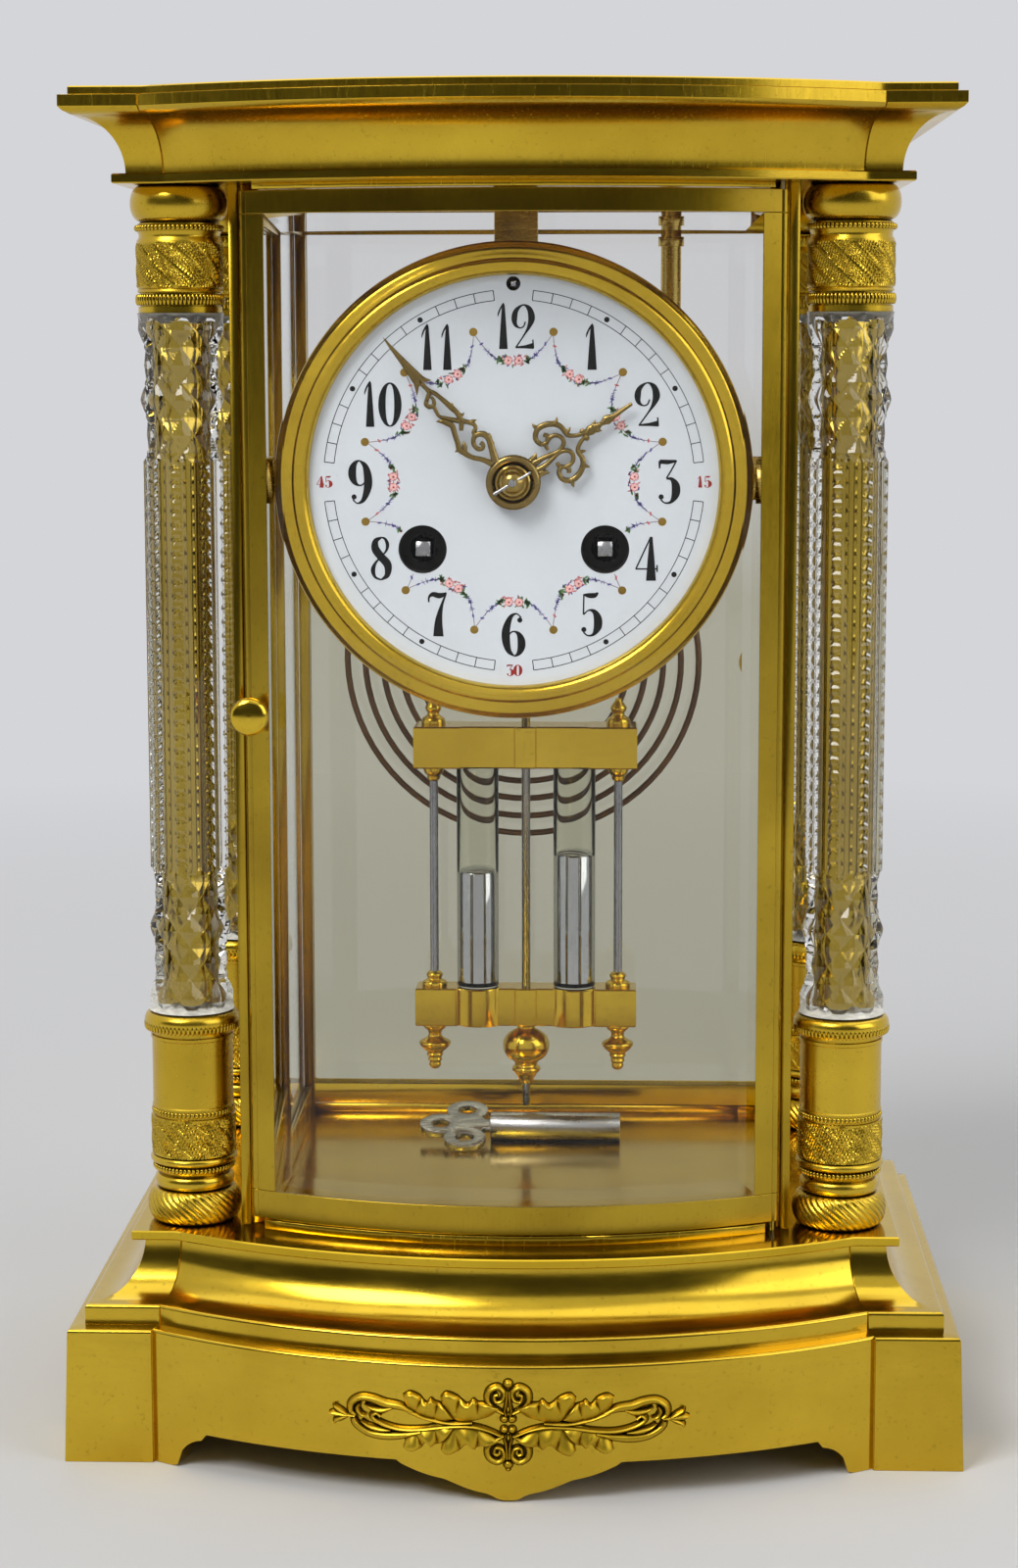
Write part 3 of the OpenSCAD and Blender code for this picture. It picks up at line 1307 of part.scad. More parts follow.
plinth();
apron_mount();
base_moulding();
lower_plate();
upper_plate();
cornice();
top_plate();
case_rails();
corner_posts();
column_bases();
column_capitals();
column_shaft_front_left();
column_shaft_front_right();
column_shaft_back_left();
column_shaft_back_right();
side_glass_left();
side_glass_right();
front_door_frame();
front_glass();
front_knob();
back_door_frame();
back_glass();
back_knob();
hinge_pins();
fitted() movement_bracket();
fitted() bezel();
fitted() dial();
fitted() front_plate();
fitted() back_plate();
fitted() plate_pillars();
fitted() cannon_pinion();
fitted() minute_hand();
fitted() hand_nut();
fitted() hour_wheel();
fitted() hour_hand();
fitted() minute_wheel();
fitted() centre_wheel();
fitted() second_wheel();
fitted() third_wheel();
fitted() escape_wheel();
fitted() anchor();
fitted() going_barrel();
fitted() going_arbor();
fitted() strike_barrel();
fitted() strike_arbor();
fitted() pin_wheel();
fitted() warning_wheel();
fitted() fly();
fitted() hammer();
fitted() suspension_cock();
fitted() regulator_arbor();
fitted() gong_post();
fitted() gong_coil();
fitted() pendulum_rod();
fitted() pendulum_frame();
fitted() mercury_jars();
fitted() mercury();
fitted() rating_nut();
winding_key();
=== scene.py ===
"""Looks for a crystal regulator clock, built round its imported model. Lengths in the code are in millimetres."""

import json
import math
import random

import bmesh
import bpy
import numpy as np
from bpy.props import FloatProperty, FloatVectorProperty, IntProperty, PointerProperty
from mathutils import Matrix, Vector


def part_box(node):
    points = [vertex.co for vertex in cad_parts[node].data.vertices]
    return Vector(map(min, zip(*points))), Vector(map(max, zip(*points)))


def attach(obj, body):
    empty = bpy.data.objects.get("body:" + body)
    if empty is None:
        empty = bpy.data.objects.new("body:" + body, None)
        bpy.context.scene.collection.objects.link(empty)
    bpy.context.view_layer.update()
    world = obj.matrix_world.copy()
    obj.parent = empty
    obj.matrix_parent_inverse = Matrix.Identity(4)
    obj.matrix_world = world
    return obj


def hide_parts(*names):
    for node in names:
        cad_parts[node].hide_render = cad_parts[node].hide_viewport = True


bl_info = {
    "name": "Crystal regulator clock",
    "version": (1, 0, 0),
    "blender": (4, 5, 0),
    "location": "3D View > Sidebar > Clock",
    "description": "Dresses the packed clock in brass, cut glass and enamel",
    "category": "Object",
}

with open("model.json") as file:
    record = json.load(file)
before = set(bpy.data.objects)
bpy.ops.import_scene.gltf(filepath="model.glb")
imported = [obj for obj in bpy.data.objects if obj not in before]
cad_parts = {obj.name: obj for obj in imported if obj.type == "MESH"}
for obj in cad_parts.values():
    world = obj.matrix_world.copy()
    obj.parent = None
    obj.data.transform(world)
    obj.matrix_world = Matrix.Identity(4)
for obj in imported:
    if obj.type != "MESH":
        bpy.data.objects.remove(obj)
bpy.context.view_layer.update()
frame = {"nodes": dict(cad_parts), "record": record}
MM = 0.001


def node_box(name):
    """Lowest and highest corner of a node, in millimetres."""
    low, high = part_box(name)
    return np.array(low) / MM, np.array(high) / MM


def node_span(name, axis):
    """Lowest and highest place of a node along an axis: 0 is x, 1 is y, 2 is z."""
    return [corner[axis] for corner in node_box(name)]


def node_middle(name, axis):
    return float(sum(node_span(name, axis)) / 2)


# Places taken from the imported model
PLINTH_TOP = node_span("plinth", 2)[1]
MOULDING_Z = node_span("base_moulding", 2)
FLOOR_Z = node_span("lower_plate", 2)[1]
CEILING_Z = node_span("upper_plate", 2)[0]
CORNICE_Z = node_span("cornice", 2)
TOP_Z = node_span("top_plate", 2)[1]
SHAFT_Z = node_span("column_shaft_front_left", 2)
DIAL_Y, DIAL_BACK = node_span("dial", 1)
DIAL_Z = node_middle("dial", 2)
PENDULUM_Y = node_middle("pendulum_rod", 1)


def colour(name, text, value):
    return FloatVectorProperty(name=name, description=text, subtype="COLOR", size=3, min=0, max=1, default=value)


def length(name, text, value):
    return FloatProperty(name=name, description=text, subtype="DISTANCE", unit="LENGTH", default=value * MM,
                         precision=5)


class ClockFinishes(bpy.types.PropertyGroup):
    """Colours of the clock's finishes."""

    gilt: colour("Gilt", "Polished gilt brass", (0.72, 0.49, 0.036))
    gilt_deep: colour("Worn gilt", "Gilt where the lacquer has toned", (0.57, 0.37, 0.022))
    movement: colour("Movement brass", "Brass of the plates and wheels", (0.7, 0.5, 0.13))
    steel: colour("Steel", "Arbors, rods and pins", (0.42, 0.42, 0.43))
    gong: colour("Gong", "Browned wire of the gong", (0.2, 0.11, 0.05))
    nickel: colour("Nickel", "Dull plating of the key", (0.5, 0.49, 0.47))
    mercury: colour("Mercury", "Liquid metal in the jars", (0.5, 0.5, 0.5))
    glass: colour("Glass", "Side panes and columns", (0.985, 0.995, 0.99))
    enamel: colour("Enamel", "White of the dial", (0.63, 0.67, 0.72))
    ink: colour("Ink", "Black of the numerals", (0.004, 0.004, 0.004))
    red_ink: colour("Red ink", "Quarter figures", (0.33, 0.025, 0.018))
    rose: colour("Rose", "Pink of the garland", (0.72, 0.2, 0.2))
    leaf: colour("Leaf", "Green of the garland", (0.16, 0.3, 0.12))
    violet: colour("Violet", "Blue of the garland", (0.16, 0.14, 0.42))


class ClockSizes(bpy.types.PropertyGroup):
    """Sizes of the clock's details."""

    edge: length("Edge", "Softening of the brass edges", 0.25)
    pane_bevel: length("Pane bevel", "Width of the bevel round each pane", 5.6)
    bead: length("Bead", "Radius of the beads on the columns", 0.5)
    print_rise: length("Print", "Thickness of the print on the enamel", 0.03)
    wire: length("Gong wire", "Radius of the gong's wire", 0.8)
    beads_round: IntProperty(name="Beads", description="Beads round each column ring", default=60, min=24, max=90)
    reeds_round: IntProperty(name="Reeds", description="Reeds round each roped ring", default=66, min=24, max=120)


def finishes():
    return bpy.context.scene.clock_finishes


def sizes():
    return bpy.context.scene.clock_sizes


# Materials

PATCH_SCALE, SPECK_SCALE, SCRATCH_SCALE, SCRATCH_DEPTH = 28, 900, 60, 0.0002
GARLAND_SCALE, LACQUER_GLOSS = 2500, 0.12
# Heights where the back pane's painted shade fades out.
PANE_SHADE_FADE = (0.19, 0.25)
EVEN = (1, 1, 1)


def dim(tint, share):
    return tuple(share * c for c in tint)


class Nodes:
    """A node tree and short ways to fill it."""

    def __init__(self, tree):
        self.tree = tree
        tree.nodes.clear()

    def put(self, value, socket):
        """Feed a socket from another node's output, or set its value."""
        if isinstance(value, bpy.types.NodeSocket):
            self.tree.links.new(value, socket)
        else:
            socket.default_value = (*value, 1) if socket.type == "RGBA" else value

    def add(self, kind, sockets=None, **settings):
        """New node with its settings, and its sockets by name or place."""
        node = self.tree.nodes.new(kind)
        for key, value in settings.items():
            setattr(node, key, value)
        for key, value in (sockets or {}).items():
            self.put(value, node.inputs[key])
        return node


class Finish(Nodes):
    """A material and the patterns that it is made of."""

    def __init__(self, name):
        self.material = bpy.data.materials.new(name)
        self.material.use_nodes = True
        super().__init__(self.material.node_tree)
        self.out = self.add("ShaderNodeOutputMaterial").inputs["Surface"]
        self.shader = self.add("ShaderNodeBsdfPrincipled")
        self.put(self.shader.outputs[0], self.out)
        self.coords = self.add("ShaderNodeTexCoord").outputs["Object"]

    def set(self, **values):
        for key, value in values.items():
            self.put(value, self.shader.inputs[key.replace("_", " ")])

    def noise(self, scale, detail=3.0, stretch=EVEN, rough=0.55):
        place = self.add("ShaderNodeMapping", {"Vector": self.coords, "Scale": stretch}).outputs[0]
        return self.add("ShaderNodeTexNoise", {"Vector": place, "Scale": scale, "Detail": detail,
                                               "Roughness": rough}).outputs["Fac"]

    def range(self, value, low=0.0, high=1.0, start=0.3, stop=0.7):
        """The value between start and stop, spread from low to high."""
        return self.add("ShaderNodeMapRange", {"Value": value, "From Min": start, "From Max": stop,
                                               "To Min": low, "To Max": high}).outputs[0]

    def mix(self, factor, a, b):
        return self.add("ShaderNodeMix", {0: factor, 6: a, 7: b}, data_type="RGBA").outputs[2]

    def axis(self, name):
        return self.add("ShaderNodeSeparateXYZ", {0: self.coords}).outputs[name]

    def bump(self, value, strength, distance):
        node = self.add("ShaderNodeBump", {"Height": value, "Strength": strength, "Distance": distance})
        self.set(Normal=node.outputs[0])


def metal(name, light, deep, rough, grain=EVEN, strength=0.06, hollow_shade=0.0, lacquer=0.0):
    """Polished metal: toned patches, specks, scratches along the grain, painted shade with some grime darkening its
    hollows, and a thin lacquer.
    """
    f = Finish(name)
    tone = f.mix(f.range(f.noise(PATCH_SCALE, 4)), light, deep)
    tone = f.mix(f.range(f.noise(SPECK_SCALE, 2), 0.0, 0.35, 0.62, 0.75), tone, dim(deep, 0.45))
    # Painted shade: ambient occlusion darkens the tone in hollows and creases, where shade falls and some grime
    # gathers.
    if hollow_shade:
        exposed = f.add("ShaderNodeAmbientOcclusion", {"Distance": hollow_shade}, samples=6).outputs["AO"]
        tone = f.mix(f.range(exposed, 0.0, 1.0, 0.25, 0.85), dim(deep, 0.16), tone)
    scratch = f.noise(SCRATCH_SCALE, 6, grain, 0.7)
    f.set(Base_Color=tone, Metallic=1.0, Roughness=f.range(scratch, *rough),
          Coat_Weight=lacquer, Coat_Roughness=LACQUER_GLOSS)
    f.bump(scratch, strength, SCRATCH_DEPTH)
    return f.material


def clear(name, tint, ior=1.45, upper=None):
    """Clear glass that lets lamp light through to what stands behind it; upper is its tint higher up, and the darker
    tint below is painted shade.
    """
    f = Finish(name)
    # Below the fade a darker tint paints shade on what shows through the pane.
    shade = f.mix(f.range(f.axis("Z"), 0.0, 1.0, *PANE_SHADE_FADE), tint, upper) if upper else tint
    f.set(Base_Color=shade, Roughness=0.0, IOR=ior, Transmission_Weight=1.0)
    lamp = f.add("ShaderNodeLightPath").outputs["Is Shadow Ray"]
    passed = f.add("ShaderNodeBsdfTransparent", {"Color": shade}).outputs[0]
    mixed = f.add("ShaderNodeMixShader", {0: lamp, 1: f.shader.outputs[0], 2: passed})
    f.put(mixed.outputs[0], f.out)
    return f.material


def paint(name, tint, spread=0.25, rough=0.35, scale=700):
    """Vitreous colour, a little uneven."""
    f = Finish(name)
    shade = f.mix(f.range(f.noise(scale)), tint, dim(tint, 1 - spread))
    f.set(Base_Color=shade, Roughness=rough, Specular_IOR_Level=0.25)
    return f.material


def enamel(name, tint):
    """White enamel: hardly uneven, with rare specks and a glossy coat."""
    f = Finish(name)
    soft = tuple(c * k for c, k in zip(tint, (0.965, 0.965, 0.955)))
    tone = f.mix(f.range(f.noise(35)), tint, soft)
    tone = f.mix(f.range(f.noise(1500, 1), 0.0, 0.5, 0.78, 0.82), tone, (0.35, 0.3, 0.24))
    f.set(Base_Color=tone, Roughness=0.12, Coat_Weight=0.6, Coat_Roughness=0.04)
    f.bump(f.noise(160, 2), 0.03, 0.0003)
    return f.material


def all_finishes():
    """Every finish by its short name."""
    c = {key: tuple(getattr(finishes(), key)) for key in ClockFinishes.__annotations__}
    gilt, deep = c["gilt"], c["gilt_deep"]
    made = {
        "gilt": metal("gilt_polished", gilt, deep, (0.13, 0.24), (1, 1, 6), lacquer=0.2),
        "gilt_satin": metal("gilt_satin", gilt, deep, (0.17, 0.29), (24, 24, 3), 0.015, lacquer=0.15),
        "gilt_floor": metal("gilt_mirror", gilt, deep, (0.1, 0.18), (1, 8, 1), 0.02),
        "gilt_cast": metal("gilt_cast", gilt, deep, (0.16, 0.3), EVEN, 0.08, 0.0016, 0.2),
        "gilt_chased": metal("gilt_chased", gilt, deep, (0.2, 0.34), EVEN, 0.08, 0.0008, 0.2),
        "gilt_mount": metal("gilt_mount", dim(gilt, 0.95), dim(deep, 0.85), (0.34, 0.46), EVEN, 0.08, 0.0008),
        # Painted shade: a darker copy of the gilt for the door rails and corner posts, which stand in shade.
        "gilt_toned": metal("gilt_toned", dim(gilt, 0.78), dim(deep, 0.66), (0.2, 0.27), (36, 36, 4), 0.006,
                            lacquer=0.2),
        # Painted shadow: near-black gilt for the dark flanges round the apron mount's forms.
        "patina": metal("gilt_patina", dim(deep, 0.28), dim(deep, 0.18), (0.4, 0.6)),
        "hand": metal("hand_gilt", (0.34, 0.24, 0.08), (0.17, 0.115, 0.035), (0.2, 0.36), EVEN, 0.1, 0.001),
        "hand_collet": metal("collet_brass", (0.45, 0.32, 0.09), (0.26, 0.175, 0.045), (0.14, 0.26)),
        "brass": metal("movement_brass", c["movement"], dim(c["movement"], 0.75), (0.2, 0.3), (4, 4, 50), 0.025),
        "steel": metal("steel_polished", c["steel"], dim(c["steel"], 0.6), (0.18, 0.34), (10, 10, 1)),
        "gong": metal("gong_browned", c["gong"], dim(c["gong"], 0.5), (0.35, 0.55), EVEN, 0.1),
        "nickel": metal("nickel_dull", c["nickel"], dim(c["nickel"], 0.7), (0.2, 0.34), (1, 10, 1)),
        "mercury": metal("mercury", c["mercury"], dim(c["mercury"], 0.9), (0.03, 0.07), EVEN, 0.0),
        # Painted shade: the brass cores are darker than the case's gilt, for the light they lose behind the cut
        # glass.
        "core": metal("core_brass", (0.46, 0.33, 0.055), (0.32, 0.22, 0.035), (0.09, 0.16), (8, 8, 1), 0.03),
        "gold_dot": metal("dial_gold", (0.42, 0.27, 0.06), (0.3, 0.18, 0.03), (0.3, 0.5)),
        "pane": clear("pane_glass", c["glass"]),
        # Painted shade: the back pane darkens and yellows what shows through its lower part, and is clear higher up.
        "back_pane": clear("back_glass", (0.62, 0.6, 0.46), upper=(0.95, 0.95, 0.95)),
        "front_pane": clear("front_glass", (0.93, 0.93, 0.92), 1.25),
        "jar": clear("jar_glass", (0.93, 0.94, 0.9), 1.2),
        "cut": clear("cut_glass", c["glass"], 1.52),
        "ground": paint("ground_glass", (0.86, 0.85, 0.8), 0.4, 0.8, 400),
        # Painted shade: near-black for the winding holes, whose depths stand in shade.
        "sleeve": paint("sleeve_black", (0.012, 0.01, 0.008), 0.4, 0.6),
        "enamel": enamel("dial_enamel", c["enamel"]),
        "ink": paint("numeral_black", c["ink"]),
        "red_ink": paint("quarter_red", c["red_ink"]),
    }
    for key, name, tint, spread in (
            ("string", "garland_string", (0.3, 0.22, 0.27), 0.3), ("leaf", "garland_leaf", c["leaf"], 0.5),
            ("rose", "garland_rose", c["rose"], 0.5), ("rose_light", "garland_blush", (0.86, 0.5, 0.48), 0.25),
            ("violet", "garland_violet", c["violet"], 0.5),
            ("rose_heart", "garland_heart", (0.16, 0.02, 0.025), 0.3)):
        made[key] = paint(name, tint, spread, scale=GARLAND_SCALE)
    return made


MATERIALS = {}


def material(name):
    """The named finish; all are made at the first call."""
    if not MATERIALS:
        MATERIALS.update(all_finishes())
    return MATERIALS[name]


# Mesh helpers

QUARTER = np.linspace(0, math.pi / 2, 5)
TINY = 1e-12


def circle(n):
    """Cosine and sine of n even angles."""
    return [(math.cos(a), math.sin(a)) for a in np.linspace(0, 2 * math.pi, n, endpoint=False)]


def directions(path):
    """Unit vectors along a path."""
    along = np.gradient(path, axis=0)
    return along / (np.linalg.norm(along, axis=1)[:, None] + TINY)


def above(z, rows):
    """(radius, height) rows whose heights count from z."""
    return [(r, z + h) for r, h in rows]


def smooth_path(points, steps=8):
    """Catmull-Rom curve through points of any number of columns."""
    p = np.asarray(points, float)
    p = np.vstack([2 * p[0] - p[1], p, 2 * p[-1] - p[-2]])
    made = []
    for i in range(1, len(p) - 2):
        a, b, c, d = p[i - 1:i + 3]
        for t in np.linspace(0, 1, steps, endpoint=False):
            made.append(0.5 * (2 * b + (c - a) * t + (2 * a - 5 * b + 4 * c - d) * t ** 2
                               + (3 * b - a - 3 * c + d) * t ** 3))
    made.append(p[-2])
    return np.array(made)


class Shell:
    """Points and faces of one piece, in millimetres; a mark picks the finish of a face."""

    def __init__(self):
        self.points, self.faces, self.marks = [], [], []

    def add(self, points, faces, mark=0):
        base = len(self.points)
        self.points.extend(tuple(map(float, p)) for p in points)
        self.faces.extend(tuple(base + i for i in face) for face in faces)
        self.marks.extend([mark] * len(faces))

    def grid(self, rows, ring=False, mark=0):
        """Quads between closed rows of points; the last row joins the first in a ring, and caps close others."""
        rows = np.asarray(rows, float)
        n, m = rows.shape[:2]
        faces = []
        for i in range(n if ring else n - 1):
            k = (i + 1) % n
            for j in range(m):
                after = (j + 1) % m
                faces.append((i * m + j, i * m + after, k * m + after, k * m + j))
        if not ring:
            faces += [tuple(range(m))[::-1], tuple(range((n - 1) * m, n * m))]
        self.add(rows.reshape(-1, 3), faces, mark)

    def lathe(self, profile, centre, sides, axis="z", field=None, ring=False, mark=0):
        """Turned shape from (radius, height) pairs, or a closed ring; field adds relief by angle and height."""
        cx, cy, cz = centre
        rows = []
        for r, h in profile:
            row = []
            for i in range(sides):
                a = 2 * math.pi * i / sides
                q = max(0.0, r + (field(a, h) if field else 0.0))
                u, v = q * math.cos(a), q * math.sin(a)
                row.append((cx + u, cy + h, cz + v) if axis == "y" else (cx + u, cy + v, cz + h))
            rows.append(row)
        self.grid(rows, ring, mark)

    def tube(self, path, radii, sides=12, mark=0):
        """Round bar along a path that runs across the clock."""
        path = np.asarray(path, float)
        rows = []
        for p, t, r in zip(path, directions(path), np.broadcast_to(radii, len(path))):
            u = np.cross(t, (0, 1, 0))
            u /= np.linalg.norm(u) + TINY
            v = np.cross(u, t)
            rows.append([p + r * (c * u + s * v) for c, s in circle(sides)])
        self.grid(rows, mark=mark)

    def mesh(self, name):
        made = bpy.data.meshes.new(name)
        made.from_pydata([(x * MM, y * MM, z * MM) for x, y, z in self.points], [], self.faces)
        made.polygons.foreach_set("material_index", self.marks)
        work = bmesh.new()
        work.from_mesh(made)
        bmesh.ops.remove_doubles(work, verts=work.verts, dist=1e-7)
        bmesh.ops.dissolve_degenerate(work, edges=work.edges, dist=1e-8)
        bmesh.ops.recalc_face_normals(work, faces=work.faces)
        work.to_mesh(made)
        work.free()
        return made


def soften(made, width, angle):
    """Round the edges where faces meet at more than an angle."""
    bevel = made.modifiers.new("edge", "BEVEL")
    bevel.width, bevel.segments, bevel.limit_method = width, 2, "ANGLE"
    bevel.angle_limit, bevel.harden_normals = math.radians(angle), True


def piece(name, shape, finish, stands_for=(), crease=40, edge=0.0, body="case"):
    """A finished piece that rides on a body; shape is a Shell or a mesh, and finish one name or several."""
    mesh = shape.mesh(name) if isinstance(shape, Shell) else shape
    made = bpy.data.objects.new(name, mesh)
    bpy.context.scene.collection.objects.link(made)
    if mesh.materials:
        mesh.materials.clear()
    for key in [finish] if isinstance(finish, str) else finish:
        mesh.materials.append(material(key))
    mesh.shade_smooth()
    mesh.set_sharp_from_angle(angle=math.radians(crease))
    if edge:
        soften(made, edge, 38)
    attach(made, body)
    if stands_for:
        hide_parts(stands_for)


class Grower(Nodes):
    """A Geometry Nodes tree with named inputs, whose end realises and dresses what it made."""

    def __init__(self, name, floats, vectors=()):
        super().__init__(bpy.data.node_groups.new(name, "GeometryNodeTree"))
        inputs = [("Points", "Geometry"), *((label, "Float") for label in floats),
                  *((label, "Vector") for label in vectors), ("Finish", "Material")]
        for label, kind in inputs:
            self.tree.interface.new_socket(label, in_out="INPUT", socket_type=f"NodeSocket{kind}")
        self.tree.interface.new_socket("Mesh", in_out="OUTPUT", socket_type="NodeSocketGeometry")
        self.given = self.add("NodeGroupInput").outputs

    def vector(self, **axes):
        return self.add("ShaderNodeCombineXYZ", axes).outputs[0]

    def on_points(self, shape, axis, **more):
        """The shape on every point, turned about an axis by the point's own angle."""
        turn = self.add("GeometryNodeInputNamedAttribute", {"Name": "turn"}, data_type="FLOAT").outputs[0]
        sockets = {"Points": self.given["Points"], "Instance": shape, "Rotation": self.vector(**{axis: turn})}
        return self.add("GeometryNodeInstanceOnPoints", {**sockets, **more}).outputs[0]

    def finish(self, shape):
        real = self.add("GeometryNodeRealizeInstances", {0: shape}).outputs[0]
        dressed = self.add("GeometryNodeSetMaterial", {0: real, "Material": self.given["Finish"]}).outputs[0]
        self.add("NodeGroupOutput", {0: dressed})
        return self.tree


def grown(name, tree, values, points, turns=()):
    """Plain mesh that a tree makes from points given in millimetres."""
    base = bpy.data.meshes.new(name)
    base.from_pydata([tuple(c * MM for c in p) for p in points], [], [])
    if turns:
        base.attributes.new("turn", "FLOAT", "POINT").data.foreach_set("value", list(turns))
    holder = bpy.data.objects.new(name + "_seed", base)
    bpy.context.scene.collection.objects.link(holder)
    live = holder.modifiers.new("grow", "NODES")
    live.node_group = tree
    for item in tree.interface.items_tree:
        if item.in_out == "INPUT" and item.name in values:
            live[item.identifier] = values[item.name]
    graph = bpy.context.evaluated_depsgraph_get()
    made = bpy.data.meshes.new_from_object(holder.evaluated_get(graph), preserve_all_data_layers=True,
                                           depsgraph=graph)
    holder.modifiers.clear()
    bpy.data.objects.remove(holder)
    made.name = name
    return made


# Plan of the case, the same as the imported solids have

HALF_W, APEX_Y, BACK_Y = 103.5, -81.7, 83.3
BLOCK_W, BOW_RISE, BOW_FADE, CREASE_SHIFT, BACK_SHARE, EAR = 20.5, 22.4, 0.125, 0.28, 0.63, 1.2
SOFT_EAR, BOW_STEPS, PLATE_STEPS = 0.4, 139, 70
STEP_INSET, PLATE_INSET, RIM_INSET, TOP_INSET, RING_BACK = 4.6, 14.2, 4.2, 6.2, 18.7
LIP, ROLL, HOLLOW_FOOT, STEP_H, RIM_H = 0.8, 0.7, 17.0, 4.6, 3.3
PLINTH_WALL, PLINTH_LEAN, PLATE_SOFT = 8.0, 1.1, 0.3


def crease_x(d):
    return HALF_W - BLOCK_W - CREASE_SHIFT * d


def front_y(d):
    return APEX_Y + BOW_RISE + d


def back_y(d):
    return BACK_Y - BACK_SHARE * d


def bow_y(x, d=0.0, ear=EAR):
    """Front face of the bow at a place across the clock."""
    rise = BOW_RISE - BOW_FADE * d + ear
    r = (crease_x(d) ** 2 + rise ** 2) / (2 * rise)
    return front_y(d) + ear - rise + r - np.sqrt(np.maximum(r ** 2 - np.asarray(x, float) ** 2, 0.0))


def plan(d, lean=0.0, ear=EAR, steps=BOW_STEPS):
    """Closed outline of the case at an inset, from the front left corner round to the back left one."""
    w, c = HALF_W - d - lean, crease_x(d)
    xs = np.linspace(-c, c, steps)
    bow = np.stack([xs, bow_y(xs, d, ear)], 1)
    if ear == 0:
        bow = bow[1:-1]
    side = np.linspace(front_y(d), back_y(d), 60)[1:-1]
    left = np.linspace(-w, -c, 8)
    points = [(x, front_y(d)) for x in left] + [tuple(p) for p in bow]
    points += [(-x, front_y(d)) for x in left[::-1]] + [(w, y) for y in side]
    points += [(x, back_y(d)) for x in np.linspace(w, -w, 80)] + [(-w, y) for y in side[::-1]]
    return np.array(points)


def at(outline, z):
    """Points of an outline at one height, or each at its own."""
    return [(x, y, h) for (x, y), h in zip(outline, np.broadcast_to(z, len(outline)))]


def hollow(d0, z0, d1, z1, n=16):
    """Section of a cove."""
    a = np.linspace(0, math.pi / 2, n + 1)
    return [(d0 + (d1 - d0) * math.sin(t), z0 + (z1 - z0) * (1 - math.cos(t))) for t in a]


def layered(section, ring=False, **shape):
    """Shell through the outline of the case at each (inset, height) of a section."""
    shell = Shell()
    shell.grid([at(plan(d, **shape), z) for d, z in section], ring)
    return shell


def swept(section):
    return layered(section, True, ear=SOFT_EAR)


def flat_plate(d, z0, z1):
    section = [(d + PLATE_SOFT, z0), (d, z0 + PLATE_SOFT), (d, z1 - PLATE_SOFT), (d + PLATE_SOFT, z1)]
    return layered(section, ear=0, steps=PLATE_STEPS)


APRON_LIFT, FOOT_X, BRACKET_W, BRACKET_STEP = 8.9, 77.0, 7.2, 1.5
SCALLOP_W, SCALLOP_STEP, SCALLOP_SAG, PENDANT_W, PENDANT_H, PENDANT_GAP = 24.6, 0.6, 0.45, 3.7, 1.3, 0.4


def bracket_z(inside):
    """Height of a hollow bracket at a distance from its foot, then the straight edge."""
    if inside <= 0:
        return 0.0
    if inside > BRACKET_W:
        return APRON_LIFT
    return (APRON_LIFT - BRACKET_STEP) * math.sqrt(1 - (1 - inside / BRACKET_W) ** 2)


def apron_z(x):
    """Lower edge of the front apron: feet, brackets, hanging scallops and a pendant."""
    x = abs(x)
    if x > SCALLOP_W:
        return bracket_z(FOOT_X - x)
    top = PENDANT_GAP + PENDANT_H
    if x < PENDANT_W:
        return top - PENDANT_H * math.sqrt(1 - (x / PENDANT_W) ** 2)
    t = (x - PENDANT_W) / (SCALLOP_W - PENDANT_W)
    return top + (APRON_LIFT - SCALLOP_STEP - top) * t - SCALLOP_SAG * abs(math.sin(2 * math.pi * t))


def arch_z(t, t0, t1):
    """Lower edge of a side or the back between two feet."""
    return bracket_z(min(t - t0, t1 - t))


def plinth_edge(p):
    """Height of the plinth's lower edge at a point of its outline."""
    x, y = p
    if y > BACK_Y - 12:
        return arch_z(x, BLOCK_W - HALF_W, HALF_W - BLOCK_W)
    if y < front_y(0) + 9 and abs(x) < crease_x(0) + 0.01:
        return apron_z(x)
    return arch_z(y, front_y(0) + BLOCK_W, BACK_Y - BLOCK_W)


class CLOCK_OT_base(bpy.types.Operator):
    """Plinth with its scalloped apron, the moulding on it and the floor of the case"""

    bl_idname = "clock.base"
    bl_label = "Base"

    def execute(self, context):
        outer, inner = plan(0), plan(PLINTH_WALL)
        lower = [plinth_edge(p) for p in outer]
        rows = [at(plan(ROLL * (1 - math.sin(t)), lean=PLINTH_LEAN), PLINTH_TOP - ROLL * (1 - math.cos(t)))
                for t in QUARTER]
        shell = Shell()
        shell.grid(rows + [at(outer, lower), at(inner, lower), at(inner, PLINTH_TOP)], ring=True)
        piece("plinth_shell", shell, "gilt", "plinth", 28, sizes().edge)
        z0, z1 = MOULDING_Z
        step = z0 + STEP_H
        section = [(STEP_INSET, z0)]
        section += [(STEP_INSET + LIP * (1 - math.cos(t)), step - LIP * (1 - math.sin(t))) for t in QUARTER]
        section += hollow(STEP_INSET + 3 * LIP, step, HOLLOW_FOOT, z1) + [(RING_BACK, z1), (RING_BACK, z0)]
        piece("base_cove", swept(section), "gilt", "base_moulding", 28, sizes().edge)
        piece("case_floor", flat_plate(PLATE_INSET, z1, FLOOR_Z), "gilt_floor", "lower_plate", 35)
        return {"FINISHED"}


